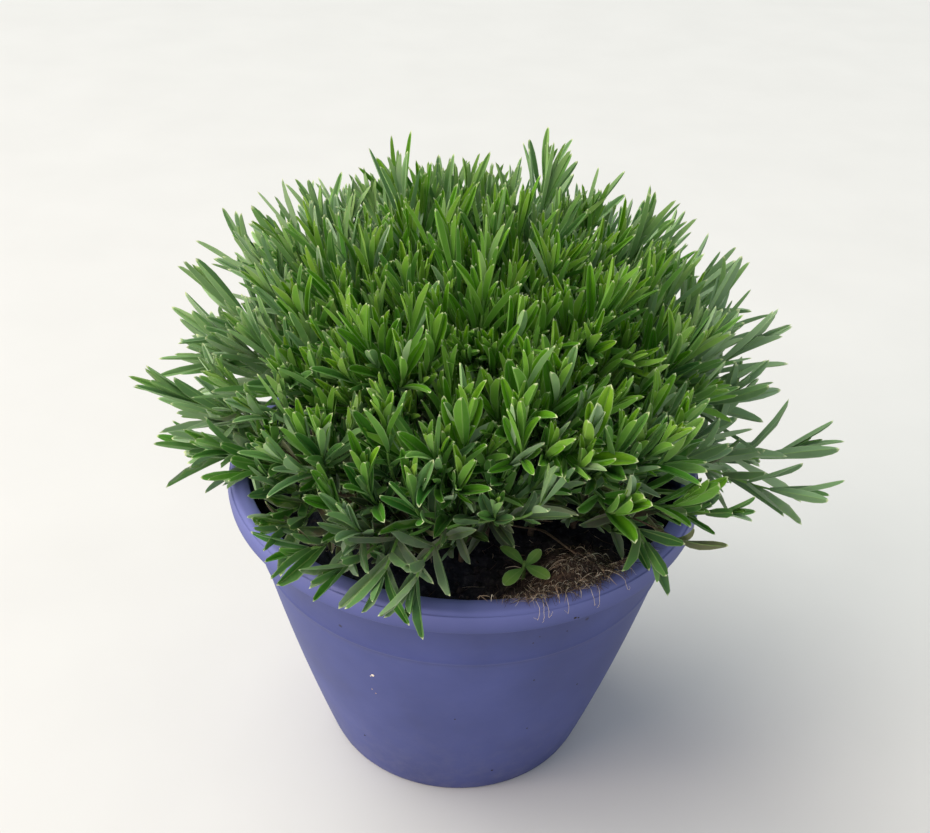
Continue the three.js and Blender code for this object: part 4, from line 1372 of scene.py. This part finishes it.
# Lavender leaf, waxy and downy: satin, paler beneath, with a light midrib, a pale dot at the tip, painted
# highlights on the edges and a painted sky sheen on the outer leaves
def leafBlade():
    material, tree, place = newMaterial("lavender leaf, waxy and downy")
    names = ("leafAge", "leafTone", "leafRun", "leafSpan", "leafTop")
    reads = (addNode(tree, "Attribute", {"attribute_name": name}) for name in names)
    age, tone, run, span, top = (read.outputs["Fac"] for read in reads)
    mottle = addNode(tree, "TexNoise", {"Scale": 160, "Detail": 3}, {"Vector": place})
    shift = addNode(tree, "Math", {"operation": "MULTIPLY_ADD", 1: 0.26, 2: -0.03}, {0: mottle})
    older = addNode(tree, "Math", {"operation": "ADD"}, {0: age, 1: shift})
    # Each leaf is a little lighter towards its tip, along the age ramp
    stage = addNode(tree, "Math", {"operation": "MULTIPLY_ADD", 1: -0.2}, {0: run, 2: older})
    greens = [(0.0, "#82ae24"), (0.16, "#619912"), (0.36, "#458013"), (0.58, "#2d6b19")]
    greens += [(0.78, "#25541c"), (0.94, "#34492b"), (1.0, "#54463a")]
    paint = addNode(tree, "ValToRGB", {"ramp": greens}, {"Fac": stage})
    away = addNode(tree, "Math", {"operation": "ABSOLUTE"}, {0: span})
    layers = [
        # Painted sky sheen: the grey on the outer leaves is partly their down and partly a sheen painted in
        (tone, 0.0, 0.9, 0.8, "#a4bd99"),  # grey down on the outer leaves
        (tone, 0.0, -0.7, 0.6, "#65a010"),  # bright new growth
        (away, 0.16, 0.04, 0.4, "#9dbd6b"),  # midrib
        # Painted highlight: the pale edge stands in for light caught on the rolled margins
        (away, 0.84, 1.0, 0.4, "#b3c998"),  # edge
        (top, 0.5, 0.4, 0.22, "#7da562"),  # underside
        (run, 0.95, 0.985, 0.9, "#dfeab8"),  # tip
    ]
    for source, start, end, most, colour in layers:
        limits = {"From Min": start, "From Max": end, "To Max": most}
        amount = addNode(tree, "MapRange", limits, {"Value": source})
        paint = addNode(tree, "MixRGB", {"Color2": toLinear(colour)}, {"Fac": amount, "Color1": paint})
    # Fine down, drawn twice as coarse as the real hairs so that it shows
    down = addNode(tree, "TexNoise", {"Scale": 900, "Detail": 2}, {"Vector": place})
    bump = addNode(tree, "Bump", {"Strength": 0.25, "Distance": 0.0003}, {"Height": down})
    waxy = {
        "Roughness": 0.56, "IOR": 1.42, "Specular IOR Level": 0.3,
        "Sheen Weight": 0.05, "Sheen Roughness": 0.4,
        "Subsurface Weight": 0.12, "Subsurface Radius": (0.6, 1.0, 0.25), "Subsurface Scale": 0.0015,
    }
    surface = addNode(tree, "BsdfPrincipled", waxy, {"Base Color": paint, "Normal": bump})
    addNode(tree, "OutputMaterial", None, {"Surface": surface})
    return material


# Lavender stem, squared and downy: green where it is young, grey-brown and flaking where it is old
def stemBark():
    material, tree, place = newMaterial("lavender stem, green turning to bark")
    wood = addNode(tree, "Attribute", {"attribute_name": "wood"}).outputs["Fac"]
    flakes = addNode(tree, "TexNoise", {"Scale": 420, "Detail": 4, "Roughness": 0.7}, {"Vector": place})
    browns = [(0.3, "#3d3129"), (0.55, "#6c5a49"), (0.75, "#94836d")]
    greens = [(0.3, "#5f8f3a"), (0.7, "#7fa653")]
    bark, fresh = (addNode(tree, "ValToRGB", {"ramp": ramp}, {"Fac": flakes}) for ramp in (browns, greens))
    paint = addNode(tree, "MixRGB", None, {"Fac": wood, "Color1": fresh, "Color2": bark})
    bump = addNode(tree, "Bump", {"Strength": 0.5, "Distance": 0.0005}, {"Height": flakes})
    surface = addNode(tree, "BsdfPrincipled", {"Roughness": 0.7}, {"Base Color": paint, "Normal": bump})
    addNode(tree, "OutputMaterial", None, {"Surface": surface})
    return material


# New growth is brightest at the middle and front, and the outer shoots are older and bluer, from grey down
# and a painted sky sheen
tint = {
    "seed": 41, "brightest": np.array([18.0, -62.0, 298.0]), "reach": 175, "from": 0.48, "gain": 2.0,
    "range": 0.22, "most": 0.7,
    "lowUnder": 268, "lowDepth": 45, "frontFrom": 20, "frontTo": 90,
}


# In the shaded low front of the clump the leaves keep their plain dark green
def shootTone(tip, rng):
    away = np.linalg.norm(tip - tint["brightest"]) / tint["reach"]
    low = smoothstep(tint["lowUnder"] - tip[2], 0, tint["lowDepth"])
    lowFront = low * smoothstep(-tip[1], tint["frontFrom"], tint["frontTo"])
    tone = min((away - tint["from"]) * tint["gain"], tint["most"])
    return tone * (1 - lowFront) + tint["range"] * rng.normal()


# One piece of several blocks, with zero where a block has no value of a name
def plantPiece(name, blocks, materials):
    bodies, faceSets, kinds, owns = zip(*blocks)
    firsts = np.cumsum([0, *map(len, bodies)])
    triangles = np.vstack([faces + first for faces, first in zip(faceSets, firsts)])
    values = {}
    for key in ("leafRun", "leafSpan", "leafTop", "leafAge", "leafTone", "wood"):
        values[key] = np.concatenate([own.get(key, np.zeros(len(body))) for body, own in zip(bodies, owns)])
    indexes = np.repeat(kinds, [len(faces) for faces in faceSets])
    return meshPiece(name, np.vstack(bodies), triangles, materials, values, indexes)


def makeStems(materials):
    rng = np.random.default_rng(tint["seed"])
    total = leafCount = shootCount = 0
    plans = growPlans()
    for plan, odd in zip(plans, oddRows(plans)):
        leaves = {"small": [], "grown": odd}
        tubeBlocks = []
        for shoot in plan["shoots"]:
            frames = shootFrames(shoot["line"], stems["frames"] if shoot["isMain"] else stems["sideFrames"])
            tubeBlocks.append(shootTube(shoot, frames))
            tone = shootTone(shoot["line"][3], rng)
            addLeaves(shoot, frames, rng, tone, leaves)
        blocks = [bladeMesh(blade, leaves["grown"]), bladeMesh(smallBlade, leaves["small"]), *tubeBlocks]
        number = f"{plan['index'] + 1:02d}"
        piece = plantPiece("leafyStem" + number, blocks, materials)
        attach(piece, "root")
        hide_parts("leafy_stem_" + number)
        total += len(piece.data.polygons)
        leafCount += len(leaves["small"]) + len(leaves["grown"])
        shootCount += len(plan["shoots"])
    print("leafy stems:", shootCount, "shoots,", leafCount, "leaves,", total, "faces")


# Young shoot by itself at the front: two pairs of short oval leaves
youngShoot = {
    "place": (31, -92), "height": 11, "radius": 1.0, "waist": 6, "sides": 6,
    # From the back left round to the front left: distance under the tip, length, width, opening, twist
    "leaves": [(2, 16, 7.4, 74, 0.2), (4, 13, 5.4, 62, 0.9), (2, 16, 7.8, 92, 0.1), (4, 15, 7.2, 90, -0.3)],
    "form": {"arch": 0.12, "bend": 0.04, "fold": 0.14, "age": 0.12, "tone": 0.25},
}
ovalBlade = {
    **blade,
    "run": [0.03, 0.15, 0.3, 0.5, 0.7, 0.86, 0.96],
    "fullness": [0.22, 0.34, 0.66, 0.98, 1.0, 0.78, 0.42],
}


def makeYoungShoot(materials):
    start = collarAt(*youngShoot["place"])
    tip = start + upward * youngShoot["height"]
    rows = []
    for face, (back, length, width, opening, twist) in enumerate(youngShoot["leaves"]):
        outward = levelTowards(math.pi - (face + 0.5) * math.pi / 2)
        lean = math.radians(opening)
        direction = upward * math.cos(lean) + outward * math.sin(lean)
        line = {"root": tip - upward * back, "direction": direction, "wide": np.cross(upward, outward)}
        rows.append({**line, "length": length, "width": width, "twist": twist, **youngShoot["form"]})
    path = [start - upward * stems["holeDepth"], start, start + upward * youngShoot["waist"], tip]
    radii = np.full((1, len(path)), youngShoot["radius"])
    stalk, stalkFaces = tubes(np.array([path]), radii, youngShoot["sides"])
    wood = {"wood": np.full(len(stalk), woodiness["young"])}
    blocks = [bladeMesh(ovalBlade, rows), (stalk, stalkFaces, 1, wood)]
    piece = plantPiece("youngShoot", blocks, materials)
    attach(piece, "root")
    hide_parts("young_shoot")
    print("young shoot:", len(piece.data.polygons), "faces")


plantMaterials = [leafBlade(), stemBark()]
makeStems(plantMaterials)
makeYoungShoot(plantMaterials)

low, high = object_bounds()
against = [round((b - a) / mm, 1) for a, b in zip((*cadLow, *cadHigh), (*low, *high))]
print("size against the frame, in mm:", against)
